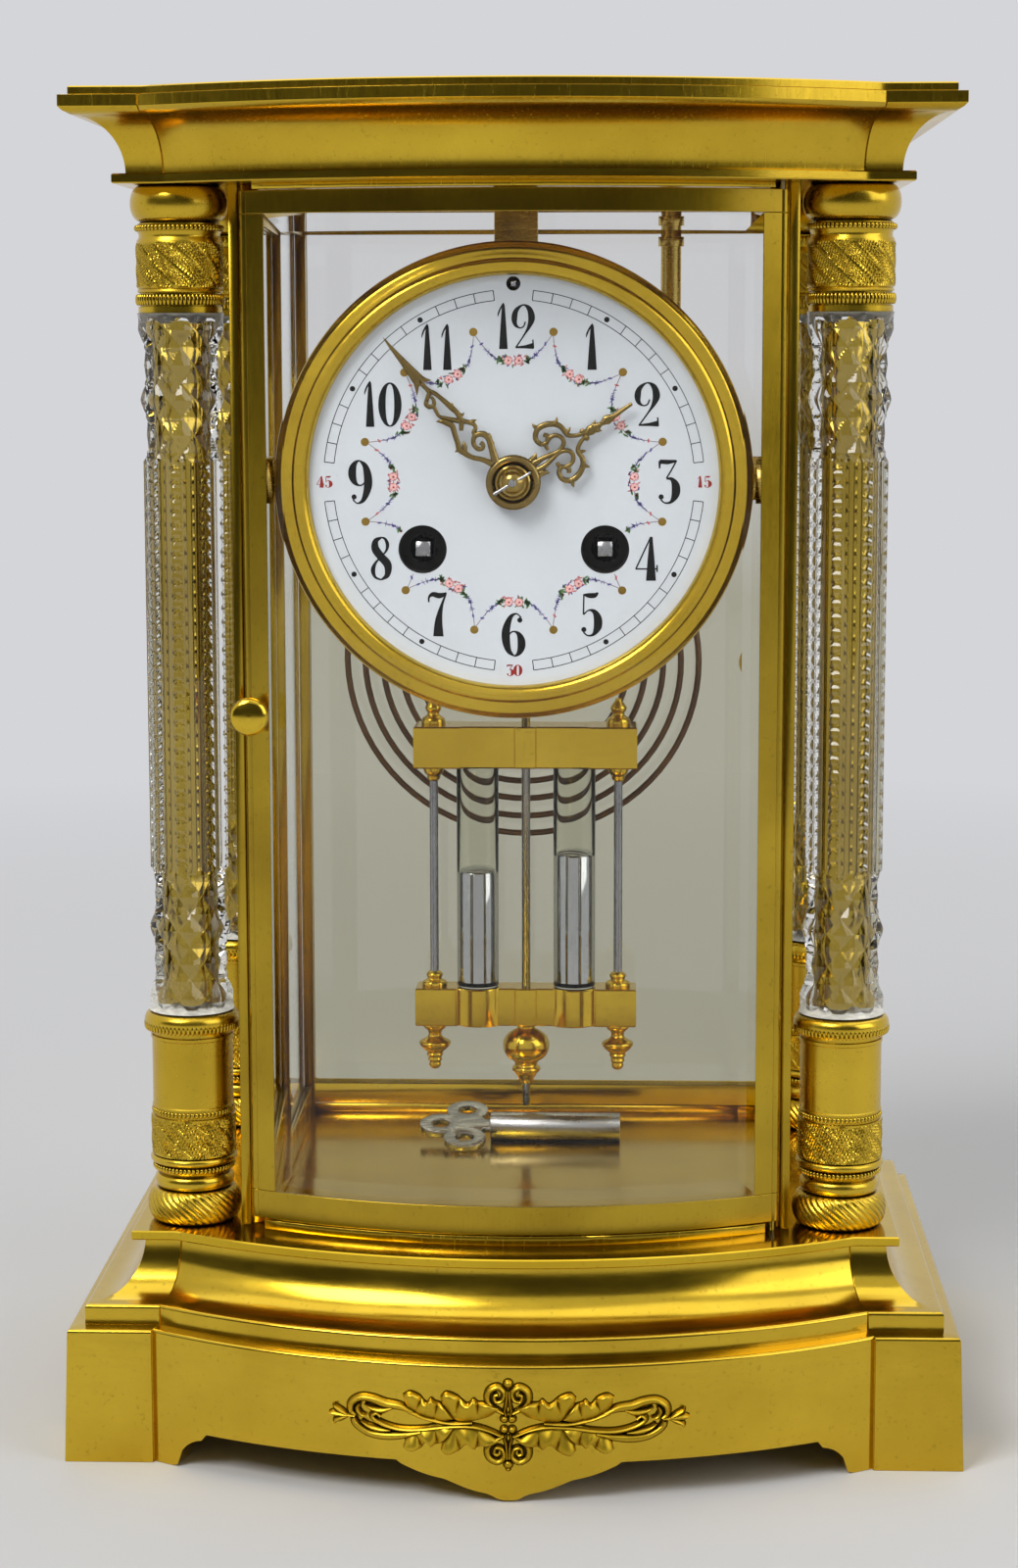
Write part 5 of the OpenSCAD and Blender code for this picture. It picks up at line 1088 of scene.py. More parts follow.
def figures(h, t):
    """Strokes of each figure one unit tall, as (x, y, half width), with hair and thick weights."""
    made = {
        0: [bowl(0, 0.5, 0.2, 0.48, 90, 270, 180), bowl(0, 0.5, 0.2, 0.48, -90, 90, 0)],
        1: [[(0.03, 1.03, 0.012), (0.03, 0.97, 0.035), (0.03, 0.5, 0.07), (0.03, 0.0, 0.102)],
            curve((-0.11, 0.72, 0.006), (-0.09, 0.8, 0.018), (-0.045, 0.9, 0.02), (0.02, 1.0, 0.02))],
        2: [curve((0.05, 0.61, h), (0.0, 0.5, h), (-0.1, 0.475, h), (-0.2, 0.55, 0.045), (-0.225, 0.7, 0.07),
                  (-0.17, 0.87, 0.05), (0.0, 0.983, h), (0.15, 0.89, 0.06), (0.205, 0.69, 0.08), (0.14, 0.5, 0.045),
                  (0.03, 0.33, 0.02), (-0.19, 0.03, h)),
            [(-0.2, 0.035, h), (0.05, 0.05, 0.035), (0.25, 0.07, 0.065)], [(0.235, 0.21, h), (0.255, 0.02, h)]],
        3: [curve((-0.19, 0.8, h), (-0.185, 0.97, 0.03)),
            [(-0.19, 0.955, 0.045), (0.0, 0.945, 0.05), (0.2, 0.97, 0.025)],
            curve((0.2, 0.98, h), (0.08, 0.76, h), (-0.03, 0.58, h)),
            curve((-0.03, 0.57, h), (0.09, 0.56, 0.04), (0.18, 0.42, t), (0.18, 0.22, t), (0.08, 0.05, 0.035),
                  (-0.06, 0.025, h), (-0.16, 0.1, h)),
            ball_end(-0.15, 0.16, 0.06)],
        4: [[(0.1, 1.0, 0.03), (0.1, 0.5, 0.075), (0.1, 0.0, 0.11)], [(0.09, 0.99, h), (-0.25, 0.27, h)],
            [(-0.26, 0.27, h), (0.26, 0.27, h)], [(0.24, 0.2, h), (0.24, 0.36, h)]],
        5: [curve((-0.15, 0.96, h), (-0.05, 0.94, 0.05), (0.09, 0.94, 0.055), (0.18, 1.0, 0.02)),
            [(-0.15, 0.97, h), (-0.16, 0.5, h)],
            curve((-0.16, 0.5, h), (-0.04, 0.6, h), (0.09, 0.57, 0.05), (0.17, 0.42, t), (0.17, 0.22, t),
                  (0.07, 0.05, 0.035), (-0.06, 0.025, h), (-0.16, 0.1, h)),
            ball_end(-0.15, 0.16, 0.06)],
        6: [curve((0.17, 0.9, h), (0.06, 0.985, h), (-0.08, 0.9, 0.05), (-0.18, 0.62, t), (-0.18, 0.36, t),
                  (-0.12, 0.14, 0.06), (0.0, 0.02, h)),
            bowl(0.0, 0.3, 0.18, 0.28, -90, 90, 0), bowl(0.0, 0.3, 0.16, 0.28, 90, 150, 90, h),
            ball_end(0.14, 0.84, 0.06)],
        7: [curve((-0.2, 0.78, h), (-0.19, 0.9, 0.025), (-0.1, 0.96, 0.05), (0.04, 0.93, 0.06), (0.16, 0.96, 0.04),
                  (0.21, 1.0, h)),
            curve((0.2, 0.97, h), (0.1, 0.7, 0.035), (0.03, 0.36, 0.08), (0.02, 0.0, 0.115))],
        8: [curve((0.02, 0.985, h), (-0.12, 0.9, 0.06), (-0.13, 0.72, t), (0.0, 0.54, t), (0.15, 0.36, t),
                  (0.14, 0.13, 0.06), (0.0, 0.015, h)),
            curve((0.0, 0.015, h), (-0.14, 0.08, 0.03), (-0.19, 0.24, 0.05), (-0.13, 0.4, 0.03), (0.0, 0.54, h),
                  (0.12, 0.68, 0.025), (0.15, 0.82, 0.04), (0.1, 0.94, 0.03), (0.02, 0.985, h))],
    }
    made[9] = [[(-x, 1 - y, w) for x, y, w in line] for line in made[6]]
    return made


FIGURES = figures(HAIR, THICK)


def number(shell, value, x, z, tall, lift, weight, squeeze):
    """Upright number centred on a place of the dial."""
    digits = [int(c) for c in str(value)]
    steps = [0.5 if len(digits) > 1 and d == 1 else 0.56 for d in digits]
    start = -sum(steps) / 2
    for d, step in zip(digits, steps):
        mid = start + step / 2
        for k, line in enumerate(FIGURES[d]):
            stroke(shell, [(u, v, w * weight) for u, v, w in line], lift + 0.004 * k,
                   place=lambda u, v: (x + tall * squeeze * (mid + u), z + tall * (v - 0.5)))
        start += step


def ring_line(shell, r, start, stop, lift):
    """Hairline of the minute track between two angles."""
    turns = np.linspace(start, stop, max(3, int(abs(stop - start) * 1.5)))
    ribbon(shell, [[clock_point(q, a)[::2] for q in (r + TRACK_LINE, r - TRACK_LINE)] for a in turns], lift)


def bar_tree():
    """Geometry Nodes: a minute bar on every point of the track."""
    grow = Grower("minute_bars", ("Width", "Length", "Rise"))
    size = grow.vector(X=grow.given["Width"], Y=grow.given["Rise"], Z=grow.given["Length"])
    return grow.finish(grow.on_points(grow.add("GeometryNodeMeshCube", {"Size": size}).outputs["Mesh"], "Y"))


def swag(shell, rise, centre, rng):
    """Garland between two gold dots. Marks: 0 string, 1 leaf, 2 rose, 3 blush, 4 violet, 5 heart."""
    def place(t, out=0.0):
        r, a = GARLAND_R + GARLAND_RISE * abs(t) ** 3.4 + out, math.radians(centre + GARLAND_SPAN * t)
        return r * math.sin(a), DIAL_Z + r * math.cos(a)

    def covered(x, z, more=0.4):
        return math.hypot(abs(x) - WINDING[0], z - WINDING[1]) < HOLE_R + more

    def dash(t, out, turn, long, half, mark):
        x, z = place(t, out)
        if not covered(x, z, 0.3 + long / 2):
            c, q = long * math.cos(turn) / 2, long * math.sin(turn) / 2
            stroke(shell, [(x - c, z - q, half * 0.4), (x, z, half), (x + c, z + q, half * 0.3)], rise * 1.3, mark)

    def any_way():
        return rng.uniform(0, math.pi)

    run = []
    for p in [place(t) for t in np.linspace(-1, 1, 81)] + [None]:
        if p is not None and not covered(*p, 0.1):
            run.append((*p, STRING_W))
            continue
        if len(run) > 2:
            stroke(shell, run, rise)
        run = []
    for side in (-1, 1):
        for k in range(9):
            dash(side * (0.52 + 0.035 * k), rng.uniform(-0.2, 0.2), any_way(), rng.uniform(0.7, 1.5), 0.11, 4)
        dash(side * 0.66, 0.0, any_way(), 1.0, 0.3, 4)
        dash(side * 0.87, 0.1, any_way(), 1.0, 0.26, 2 if rng.random() < 0.5 else 4)
        for _ in range(7):
            dash(side * rng.uniform(0.33, 0.5), rng.uniform(-0.7, 0.7), any_way(), rng.uniform(0.9, 1.6), 0.26, 1)
        for _ in range(10):
            dash(side * rng.uniform(0.0, 0.36), rng.choice((-1, 1)) * rng.uniform(0.7, 1.25), any_way(),
                 rng.uniform(0.6, 1.1), 0.17, rng.choice((1, 2, 2, 4)))
        x, z = place(side * 0.165, 0.1)
        if covered(x, z, 1.2):
            continue
        blob(shell, x, z, 0.98, rise * 1.5, 2, 14)
        for k in range(6):
            a = math.pi * k / 3 + rng.random() * 0.5
            blob(shell, x + 0.48 * math.cos(a), z + 0.48 * math.sin(a), 0.42, rise * (1.7 + 0.08 * k), 3, 9)
        blob(shell, x + 0.08, z - 0.05, 0.3, rise * 2.3, 2, 9)
        blob(shell, x + 0.08, z - 0.05, 0.15, rise * 2.6, 5, 8)
    x, z = place(0.42, 0.35)
    if not covered(x, z):
        blob(shell, x, z, 0.26, rise * 1.6, 5, 9)


class CLOCK_OT_dial(bpy.types.Operator):
    """Bezel and everything printed on the enamel dial"""

    bl_idname = "clock.dial"
    bl_label = "Dial"

    def execute(self, context):
        rise = sizes().print_rise / MM
        bezel = Shell()
        profile = [(start + r, DIAL_Y + y) for start, rows in ((ENAMEL_R, BEZEL_LIP), (BEZEL_R, BEZEL_WALL))
                   for r, y in rows]
        bezel.lathe(profile, (0, 0, DIAL_Z), 160, axis="y", ring=True)
        piece("bezel_ring", bezel, "gilt", "bezel", 30)
        print_black, print_red, dots = Shell(), Shell(), Shell()
        for hour in range(1, 13):
            x, _, z = clock_point(NUMERAL_R, 30 * hour)
            number(print_black, hour, x, z, NUMERAL_H, rise, 1.05, 0.98 if hour < 10 else 0.9)
            if hour % 3:
                x, _, z = clock_point(TRACK_R, 30 * hour)
                blob(print_black, x, z, 0.62, rise * 1.2, 0, 14)
            x, _, z = clock_point(NUMERAL_R, 30 * hour + 15)
            blob(dots, x, z, 0.95, rise * 1.6, 0, 18)
        for quarter in (1, 2, 3):
            x, _, z = clock_point(QUARTER_R, 90 * quarter)
            number(print_red, 15 * quarter, x, z, QUARTER_H, rise, 1.35, 1.25)
        for quarter in range(4):
            for r in (TRACK_IN, TRACK_OUT):
                ring_line(print_black, r, 90 * quarter + TRACK_GAP, 90 * (quarter + 1) - TRACK_GAP, rise)
        # Sleeves in the winding holes, with a floor ring before the front plate; their near-black is painted shade.
        sleeves, floor, back = Shell(), node_span("front_plate", 1)[0] - 0.1, DIAL_BACK + 0.05
        for s in (-1, 1):
            wall = [(5.45, back), (5.45, floor), (3.2, floor), (3.2, floor - 0.2), (5.2, floor - 0.2), (5.2, back)]
            sleeves.lathe(wall, (s * WINDING[0], 0, WINDING[1]), 40, axis="y", ring=True)
        piece("winding_sleeves", sleeves, "sleeve")
        turns = [6 * minute for minute in range(60) if minute % 5]
        values = {"Width": BAR_W * MM, "Length": (TRACK_OUT - TRACK_IN) * MM, "Rise": rise * MM,
                  "Finish": material("ink")}
        bars = grown("minute_bars", bar_tree(), values, [clock_point(TRACK_R, turn, rise / 2) for turn in turns],
                     [math.radians(turn) for turn in turns])
        garland, rng = Shell(), random.Random(7)
        for k in range(12):
            swag(garland, rise, 30 * k, rng)
        for name, shape, finish, crease in (
                ("minute_bars", bars, "ink", 30), ("hour_figures", print_black, "ink", 30),
                ("quarter_figures", print_red, "red_ink", 30), ("gold_dots", dots, "gold_dot", 40),
                ("garland", garland, ["string", "leaf", "rose", "rose_light", "violet", "rose_heart"], 40)):
            piece(name, shape, finish, (), crease)
        return {"FINISHED"}


# Hands, their strands as (along, across, half width)

STRAND_W, STRAND_T = 1.2, 0.5
MINUTE_TURN, HOUR_TURN, PIN_TILT = 317.8, 56.4, math.radians(30.6)
MINUTE_STRANDS = [
    [(30.0, -0.25, 0.95), (31.5, -0.25, 1.1), (33.5, -0.2, 0.92), (37.0, -0.05, 0.6), (41.0, 0.1, 0.32),
     (43.5, 0.28, 0.05)],
    [(31.8, 0.2, 0.5), (30.2, 0.95, 0.38), (29.3, 1.8, 0.05)],
    [(31.8, -0.7, 0.5), (30.2, -1.7, 0.38), (28.9, -2.8, 0.05)],
    [(30.8, -0.25, 0.5), (28.8, -0.25, 0.42), (27.2, -0.1, 0.6)],
    [(27.6, -0.1, 0.5), (26.3, 0.5, 0.42), (23.8, 0.85, 0.48), (21.8, 1.05, 0.55), (20.0, 1.2, 0.5), (18.1, 0.7, 0.5),
     (16.4, -0.8, 0.4)],
    [(27.4, -0.3, 0.5), (26.9, -1.5, 0.4), (26.1, -2.6, 0.45), (25.1, -2.5, 0.42), (24.8, -1.5, 0.4),
     (25.6, -0.8, 0.34), (26.6, -0.7, 0.3)],
    [(25.0, -1.6, 0.4), (23.5, -2.0, 0.36), (22.1, -2.25, 0.36), (20.9, -1.5, 0.36), (19.6, -0.6, 0.45),
     (18.1, 0.5, 0.5)],
    [(21.7, -3.6, 0.05), (21.0, -2.7, 0.42), (19.8, -1.9, 0.6), (18.5, -1.6, 0.55), (17.0, -2.3, 0.5),
     (15.0, -3.2, 0.5), (13.6, -3.9, 0.55), (12.2, -3.6, 0.55), (10.4, -3.0, 0.48),
     (8.4, -1.6, 0.5), (6.2, -0.6, 0.6)],
    [(13.2, -3.7, 0.5), (13.7, -4.4, 0.36), (13.8, -5.1, 0.05)],
    [(12.2, -3.4, 0.4), (13.4, -2.6, 0.5), (14.4, -2.0, 0.08)],
    [(18.1, 0.7, 0.5), (16.9, 1.58, 0.45), (15.5, 2.3, 0.42), (14.6, 1.9, 0.4), (14.3, 1.0, 0.4), (13.4, 0.9, 0.4)],
    [(16.6, 1.7, 0.4), (16.2, 2.7, 0.34), (15.9, 3.4, 0.05)],
    [(6.0, 0.2, 0.8), (8.7, 1.55, 0.65), (11.0, 2.6, 0.6), (12.6, 2.3, 0.6), (13.4, 1.2, 0.52), (13.3, 0.2, 0.46),
     (12.4, -0.7, 0.45), (11.0, -0.8, 0.45), (10.3, 0.0, 0.42), (10.8, 0.75, 0.4), (11.6, 0.6, 0.42)],
    [(10.5, 2.5, 0.5), (11.2, 3.2, 0.3), (11.9, 3.6, 0.05)], [(21.9, 1.0, 0.4), (22.0, 1.5, 0.3), (22.4, 2.0, 0.05)],
    [(19.6, 1.1, 0.45), (18.9, 1.8, 0.3), (19.0, 2.5, 0.05)], [(8.4, 1.2, 0.5), (9.3, 2.3, 0.35), (9.6, 3.0, 0.05)],
]
HOUR_STRANDS = [
    [(23.5, 0.05, 0.35), (24.6, 0.0, 0.7), (25.4, 0.0, 0.9), (27.3, 0.15, 0.5), (29.5, 0.1, 0.42),
     (32.0, 0.07, 0.34)],
    [(19.4, 0.0, 0.5), (21.0, -0.1, 0.95), (22.4, 0.0, 0.8), (23.7, 0.05, 0.4)],
]
HOUR_SIDES = [
    [(21.6, 0.5, 0.45), (22.5, 1.0, 0.3), (23.1, 1.4, 0.05)],
    [(18.6, 0.85, 0.15), (18.9, 0.85, 0.5), (19.3, 0.85, 0.58), (19.7, 0.85, 0.45), (19.95, 0.85, 0.1)],
    [(20.4, 0.0, 0.45), (19.0, 0.45, 0.42), (17.4, 1.0, 0.4), (16.0, 2.2, 0.45), (15.9, 4.2, 0.5), (15.0, 5.7, 0.55),
     (13.0, 6.8, 0.58), (11.0, 6.8, 0.55), (9.6, 5.4, 0.5), (9.9, 3.7, 0.45), (11.2, 3.3, 0.42), (12.1, 4.3, 0.45),
     (11.6, 5.2, 0.4)],
    [(6.0, 0.9, 0.7), (8.2, 0.85, 0.5), (10.2, 0.5, 0.45), (12.4, 0.15, 0.45), (14.2, 0.9, 0.44), (14.6, 2.3, 0.44),
     (13.6, 3.6, 0.42), (12.0, 3.7, 0.42), (10.7, 2.8, 0.4), (10.6, 1.7, 0.32)],
    [(11.4, 6.8, 0.45), (10.9, 7.8, 0.36), (10.8, 8.6, 0.05)],
    [(14.8, 5.6, 0.5), (15.8, 6.2, 0.3), (16.3, 6.8, 0.05)],
    [(15.8, 2.4, 0.4), (17.0, 2.9, 0.3), (17.6, 3.2, 0.05)], [(5.6, 1.6, 0.7), (7.2, 2.1, 0.5), (8.0, 2.9, 0.05)],
]
MINUTE_EYE = [(2.6, 0.45), (6.1, 0.45), (6.15, 0.1), (5.9, -0.25), (5.4, -0.45), (4.9, -0.35), (4.5, -0.1),
              (4.1, 0.0), (3.8, 0.1), (2.6, 0.1)]
HOUR_EYE = [(3.4, 0.45), (6.0, 0.45), (6.2, 0.0), (6.0, -0.45), (3.4, -0.45)]
COLLET = [(0, 0), (3.9, 0), (3.95, -0.5), (3.6, -0.75), (3.3, -0.6), (3.1, -0.8), (2.8, -1.4), (2.2, -2.1),
          (1.5, -2.6), (1.0, -2.75), (1.0, -3.1), (0, -3.2)]
ARBOR_END = [(0, -2.9), (0.9, -2.9), (0.9, -3.35), (0.75, -3.5), (0, -3.5)]
PIN, PIN_DEPTH = ((-5.0, 0.2), (-4.9, 0.42), (0.0, 0.38), (4.6, 0.3), (4.75, 0.12)), 2.35


def strand(shell, turn, y, points):
    """Chased strand of a hand that points at an angle clockwise from twelve."""
    path = smooth_path(points, 7) * (1, 1, STRAND_W)
    c, s = math.cos(math.radians(turn)), math.sin(math.radians(turn))
    rows = []
    for (u, v, w), (tu, tv) in zip(path, directions(path[:, :2])):
        row = []
        for ca, sa in circle(10):
            p, q = u - tv * w * ca, v + tu * w * ca
            row.append((p * s + q * c, y - min(STRAND_T, 0.8 * w + 0.05) * sa, DIAL_Z + p * c - q * s))
        rows.append(row)
    shell.grid(rows)


class CLOCK_OT_hands(bpy.types.Operator):
    """Pierced gilt hands, their collet and taper pin"""

    bl_idname = "clock.hands"
    bl_label = "Hands"

    def execute(self, context):
        mid = (0, 0, DIAL_Z)
        hour_lines = HOUR_STRANDS + [[(u, s * v, w) for u, v, w in line] for line in HOUR_SIDES for s in (-1, 1)]
        for label, lines, turn, eye, body in (
                ("minute", MINUTE_STRANDS, MINUTE_TURN, MINUTE_EYE, "centre_arbor"),
                ("hour", hour_lines, HOUR_TURN, HOUR_EYE, "hour_work")):
            y, hand = node_middle(f"{label}_hand", 1), Shell()
            for line in lines:
                strand(hand, turn, y, line)
            hand.lathe(above(y, eye), mid, 56, axis="y", ring=True)
            piece(f"{label}_scrolls", hand, "hand", f"{label}_hand", body=body)
        y, nut = node_span("hand_nut", 1)[1], Shell()
        nut.lathe(above(y, COLLET), mid, 48, axis="y")
        pin = [(q * math.cos(PIN_TILT), y - PIN_DEPTH, DIAL_Z + q * math.sin(PIN_TILT)) for q, _ in PIN]
        nut.tube(pin, [r for _, r in PIN], mark=1)
        nut.lathe(above(y, ARBOR_END), mid, 20, axis="y", mark=1)
        piece("hand_collet", nut, ["hand_collet", "steel"], "hand_nut", body="centre_arbor")
        return {"FINISHED"}


# Gong and pendulum

GONG_TURNS, GONG_IN, GONG_OUT, GONG_DROP = 5.0, 25, 48, 50.5
JAR_X, JAR_R, JAR_WALL, SIDE_ROD_X, SIDE_ROD_R, BOB_W = 12.5, 5.4, 0.5, 23.8, 1.1, 28.6
LOWER_Z, LOWER_TOP, UPPER_Z, BOB_TOP, BLOCK_SOFT = 80.5, 90.4, 148.1, 158.9, 0.35
MENISCUS, MERCURY_OVERLAP = 1.1, 0.03
LOWER_FINIAL = [(0, -12.4), (0.9, -12.1), (1.6, -11.2), (1.45, -10.4), (1.9, -9.8), (1.7, -9.1), (2.2, -8.4),
                (2.1, -7.8), (3.4, -6.6), (4.1, -5.6), (3.9, -4.8), (2.4, -4.0), (1.75, -3.2), (1.9, -2.2),
                (2.9, -1.2), (3.0, -0.3), (2.9, 0.2)]
UPPER_FINIAL = [(3.1, -0.2), (3.1, 0.9), (2.8, 1.6), (1.9, 2.2), (1.5, 2.8), (1.9, 3.6), (2.1, 4.4), (1.5, 5.4),
                (0.9, 6.2), (0.8, 6.7), (0, 7.0)]
LOWER_COLLAR = [(3.2, -0.2), (3.3, 0.6), (3.0, 1.2), (2.0, 1.7), (1.9, 2.2), (2.2, 2.9), (1.7, 3.6), (1.1, 3.9)]
UPPER_COLLAR = [(1.1, -3.9), (1.6, -3.4), (1.8, -2.6), (2.4, -1.8), (2.7, -0.8), (2.7, 0.2)]
RATING_BUTTON = [(1.15, 0), (1.7, 0.1), (1.9, 0.9), (2.6, 2.2), (2.9, 2.7), (3.7, 3.5), (3.6, 4.2), (3.1, 4.7),
                 (3.0, 5.3), (3.4, 6.0), (4.9, 7.0), (5.8, 8.4), (6.1, 9.9), (5.9, 11.4), (5.0, 12.9),
                 (3.6, 13.9), (2.5, 14.5)]


def gong_tree():
    """Geometry Nodes: flat coil of wire standing upright behind the movement."""
    grow = Grower("gong_coil", ("Turns", "Inner radius", "Outer radius", "Wire radius"), ("Place",))
    coil = grow.add("GeometryNodeCurveSpiral", {
        "Resolution": 72, "Height": 0.0, "Rotations": grow.given["Turns"],
        "Start Radius": grow.given["Inner radius"], "End Radius": grow.given["Outer radius"]})
    begun = grow.add("GeometryNodeTransform", {"Geometry": coil.outputs[0], "Rotation": (0, 0, math.pi / 2)})
    stood = grow.add("GeometryNodeTransform", {
        "Geometry": begun.outputs[0], "Rotation": (math.pi / 2, 0, 0), "Translation": grow.given["Place"]})
    wire = grow.add("GeometryNodeCurvePrimitiveCircle", {"Resolution": 12, "Radius": grow.given["Wire radius"]})
    tube = grow.add("GeometryNodeCurveToMesh", {
        "Curve": stood.outputs[0], "Profile Curve": wire.outputs[0], "Fill Caps": True})
    return grow.finish(tube.outputs[0])


class CLOCK_OT_gong(bpy.types.Operator):
    """Coiled gong behind the pendulum"""

    bl_idname = "clock.gong"
    bl_label = "Gong"

    def execute(self, context):
        y, z = node_middle("gong_coil", 1), DIAL_Z - GONG_DROP
        values = {"Turns": GONG_TURNS, "Inner radius": GONG_IN * MM, "Outer radius": GONG_OUT * MM,
                  "Wire radius": sizes().wire, "Place": (0.0, y * MM, z * MM), "Finish": material("gong")}
        coil = grown("gong_wire", gong_tree(), values, [(0, y, z)])
        piece("gong_wire", coil, "gong", "gong_coil")
        root = Shell()
        root.tube(smooth_path([(x, y, z + GONG_IN) for x in (4.2, 2.0, 0.0)], 4), sizes().wire / MM * 1.05)
        piece("gong_root", root, "gong")
        return {"FINISHED"}


def block(shell, outline, z0, z1):
    """Upright block from half an outline of (x, depth), mirrored to the back."""
    ring = np.array([(x, -d) for x, d in outline] + [(x, d) for x, d in outline[::-1]])
    inner = ring * (1 - BLOCK_SOFT / np.maximum(np.abs(ring), 4.0))
    rows = [(inner, z0), (ring, z0 + BLOCK_SOFT), (ring, z1 - BLOCK_SOFT), (inner, z1)]
    shell.grid([[(x, PENDULUM_Y + d, z) for x, d in line] for line, z in rows])


def lobed(end_w, end_d, bar_d, lobe_r):
    """Front half outline of a block from left to right: square ends, a bar and round lobes before the jars."""
    xs = np.concatenate([np.linspace(-BOB_W, BOB_W, 221), [-BOB_W + end_w, BOB_W - end_w]])
    made = []
    for x in np.sort(xs):
        d = bar_d
        for c in (-JAR_X, JAR_X):
            if abs(x - c) < lobe_r:
                d = max(d, math.sqrt(lobe_r ** 2 - (x - c) ** 2))
        if abs(x) < 2.7:
            d = max(d, bar_d + 0.45)
        if abs(x) > BOB_W - end_w:
            d = max(d, end_d)
        made.append((x, d))
    return made


class CLOCK_OT_pendulum(bpy.types.Operator):
    """Pendulum with two jars of mercury between its blocks"""

    bl_idname = "clock.pendulum"
    bl_label = "Pendulum"

    def execute(self, context):
        y, blocks, rods, jars, fill, nut = PENDULUM_Y, Shell(), Shell(), Shell(), Shell(), Shell()
        block(blocks, lobed(10.6, 4.96, 4.2, 6.6), LOWER_Z, LOWER_TOP)
        block(blocks, lobed(12.0, 6.7, 5.7, 0.0), UPPER_Z, BOB_TOP)
        turned = ((LOWER_Z, LOWER_FINIAL), (BOB_TOP, UPPER_FINIAL), (LOWER_TOP, LOWER_COLLAR),
                  (UPPER_Z, UPPER_COLLAR))
        for x in (-SIDE_ROD_X, SIDE_ROD_X):
            for z, profile in turned:
                blocks.lathe(smooth_path(above(z, profile), 4), (x, y, 0), 32)
            rods.lathe([(SIDE_ROD_R, LOWER_TOP), (SIDE_ROD_R, UPPER_Z)], (x, y, 0), 24)
        piece("pendulum_blocks", blocks, "gilt", "pendulum_frame", 30, body="pendulum")
        piece("pendulum_side_rods", rods, "steel", body="pendulum")
        z0, z1 = node_span("mercury_jars", 2)
        r, bore = JAR_R, JAR_R - JAR_WALL
        glass = [(0, z0), (r - 0.4, z0), (r, z0 + 0.4), (r, z1 - 0.3), (r - 0.2, z1), (bore + 0.1, z1),
                 (bore, z1 - 0.2), (bore, z0 + 1.4), (bore - 0.4, z0 + 1.0), (0, z0 + 1.0)]
        points = np.array([v.co for v in frame["nodes"]["mercury"].data.vertices]) / MM
        r = bore + MERCURY_OVERLAP
        for s in (-1, 1):
            jars.lathe(glass, (s * JAR_X, y, 0), 56)
            heights = points[points[:, 0] * s > 0][:, 2]
            z0, z1 = heights.min(), heights.max()
            dome = [(r * math.cos(t), z1 - MENISCUS + MENISCUS * math.sin(t)) for t in np.linspace(0, math.pi / 2, 9)]
            fill.lathe([(0, z0), (r - 0.4, z0), (r, z0 + 0.4)] + dome, (s * JAR_X, y, 0), 56)
        piece("jar_glass", jars, "jar", "mercury_jars", body="pendulum")
        piece("jar_mercury", fill, "mercury", "mercury", body="pendulum")
        z0, z1 = node_span("rating_nut", 2)
        h = z1 - z0
        profile = above(z0, RATING_BUTTON) + [(2.3, z0 + h - 0.4), (2.6, z0 + h), (1.15, z0 + h)]
        nut.lathe(smooth_path(profile, 3), (0, y, 0), 48, ring=True)
        piece("rating_button", nut, "gilt", "rating_nut", 30, body="rating_nut")
        return {"FINISHED"}


class CLOCK_OT_movement(bpy.types.Operator):
    """Finishes on the solids that show as they are"""

    bl_idname = "clock.movement"
    bl_label = "Movement"

    def execute(self, context):
        shade = Nodes(bpy.data.node_groups.new("soft_shading", "GeometryNodeTree"))
        for label, way in (("Solid", "INPUT"), ("Shaded", "OUTPUT")):
            shade.tree.interface.new_socket(label, in_out=way, socket_type="NodeSocketGeometry")
        smooth = shade.add("GeometryNodeSetShadeSmooth", {0: shade.add("NodeGroupInput").outputs[0]})
        shade.add("NodeGroupOutput", {0: smooth.outputs[0]})
        by_slot = {"gilt_brass": "gilt", "steel": "steel", "nickel": "nickel", "enamel": "enamel",
                   "gong_steel": "gong", "clear_glass": "pane"}
        # The corner posts take the darker copy of the gilt: painted shade.
        special = {"corner_posts": "gilt_toned", "case_rails": "gilt_satin", "back_door_frame": "gilt",
                   "dial": "enamel"}
        slots = {part["node"]: part["material_slot"] for part in frame["record"]["subparts"]}
        for name, node in frame["nodes"].items():
            if node.hide_render:
                continue
            node.data.materials.clear()
            node.data.materials.append(material(special.get(name) or by_slot.get(slots.get(name), "brass")))
            if name == "dial":
                continue
            node.modifiers.new("weld", "WELD").merge_threshold = 1e-6
            soften(node, 0.00012, 35)
            node.modifiers.new("shade", "NODES").node_group = shade.tree
        return {"FINISHED"}


# Stage, in metres

PALE = (0.66, 0.665, 0.69)
FLOOR_HALF, FADE_START, FADE_STOP = 6, 0.3, 1.1
CARD_HALF, CARD_Y, CARD_TOP = 5, -1.7, 1.5
WORLD_LIGHT, WORLD_TINT = 0.1, (0.92, 0.95, 1.0)
LAMPS = (("key_light", (-1.0, -1.35, 1.85), 1.0, 32), ("fill_light", (1.6, -0.9, 1.0), 1.4, 11),
         ("top_light", (0.2, 0.5, 2.2), 3.0, 27))
LAMP_AIM = (0, 0, 0.15)
SENSOR, FOCAL_PIXELS, PHOTO_PIXELS = 36.0, 3184.90, 1600
CAMERA_AT, CAMERA_PITCH, CAMERA_ROLL, CAMERA_YAW = (24.9 * MM, -747.9 * MM, 256.9 * MM), 90 - 8.11, 0.10, 2.09


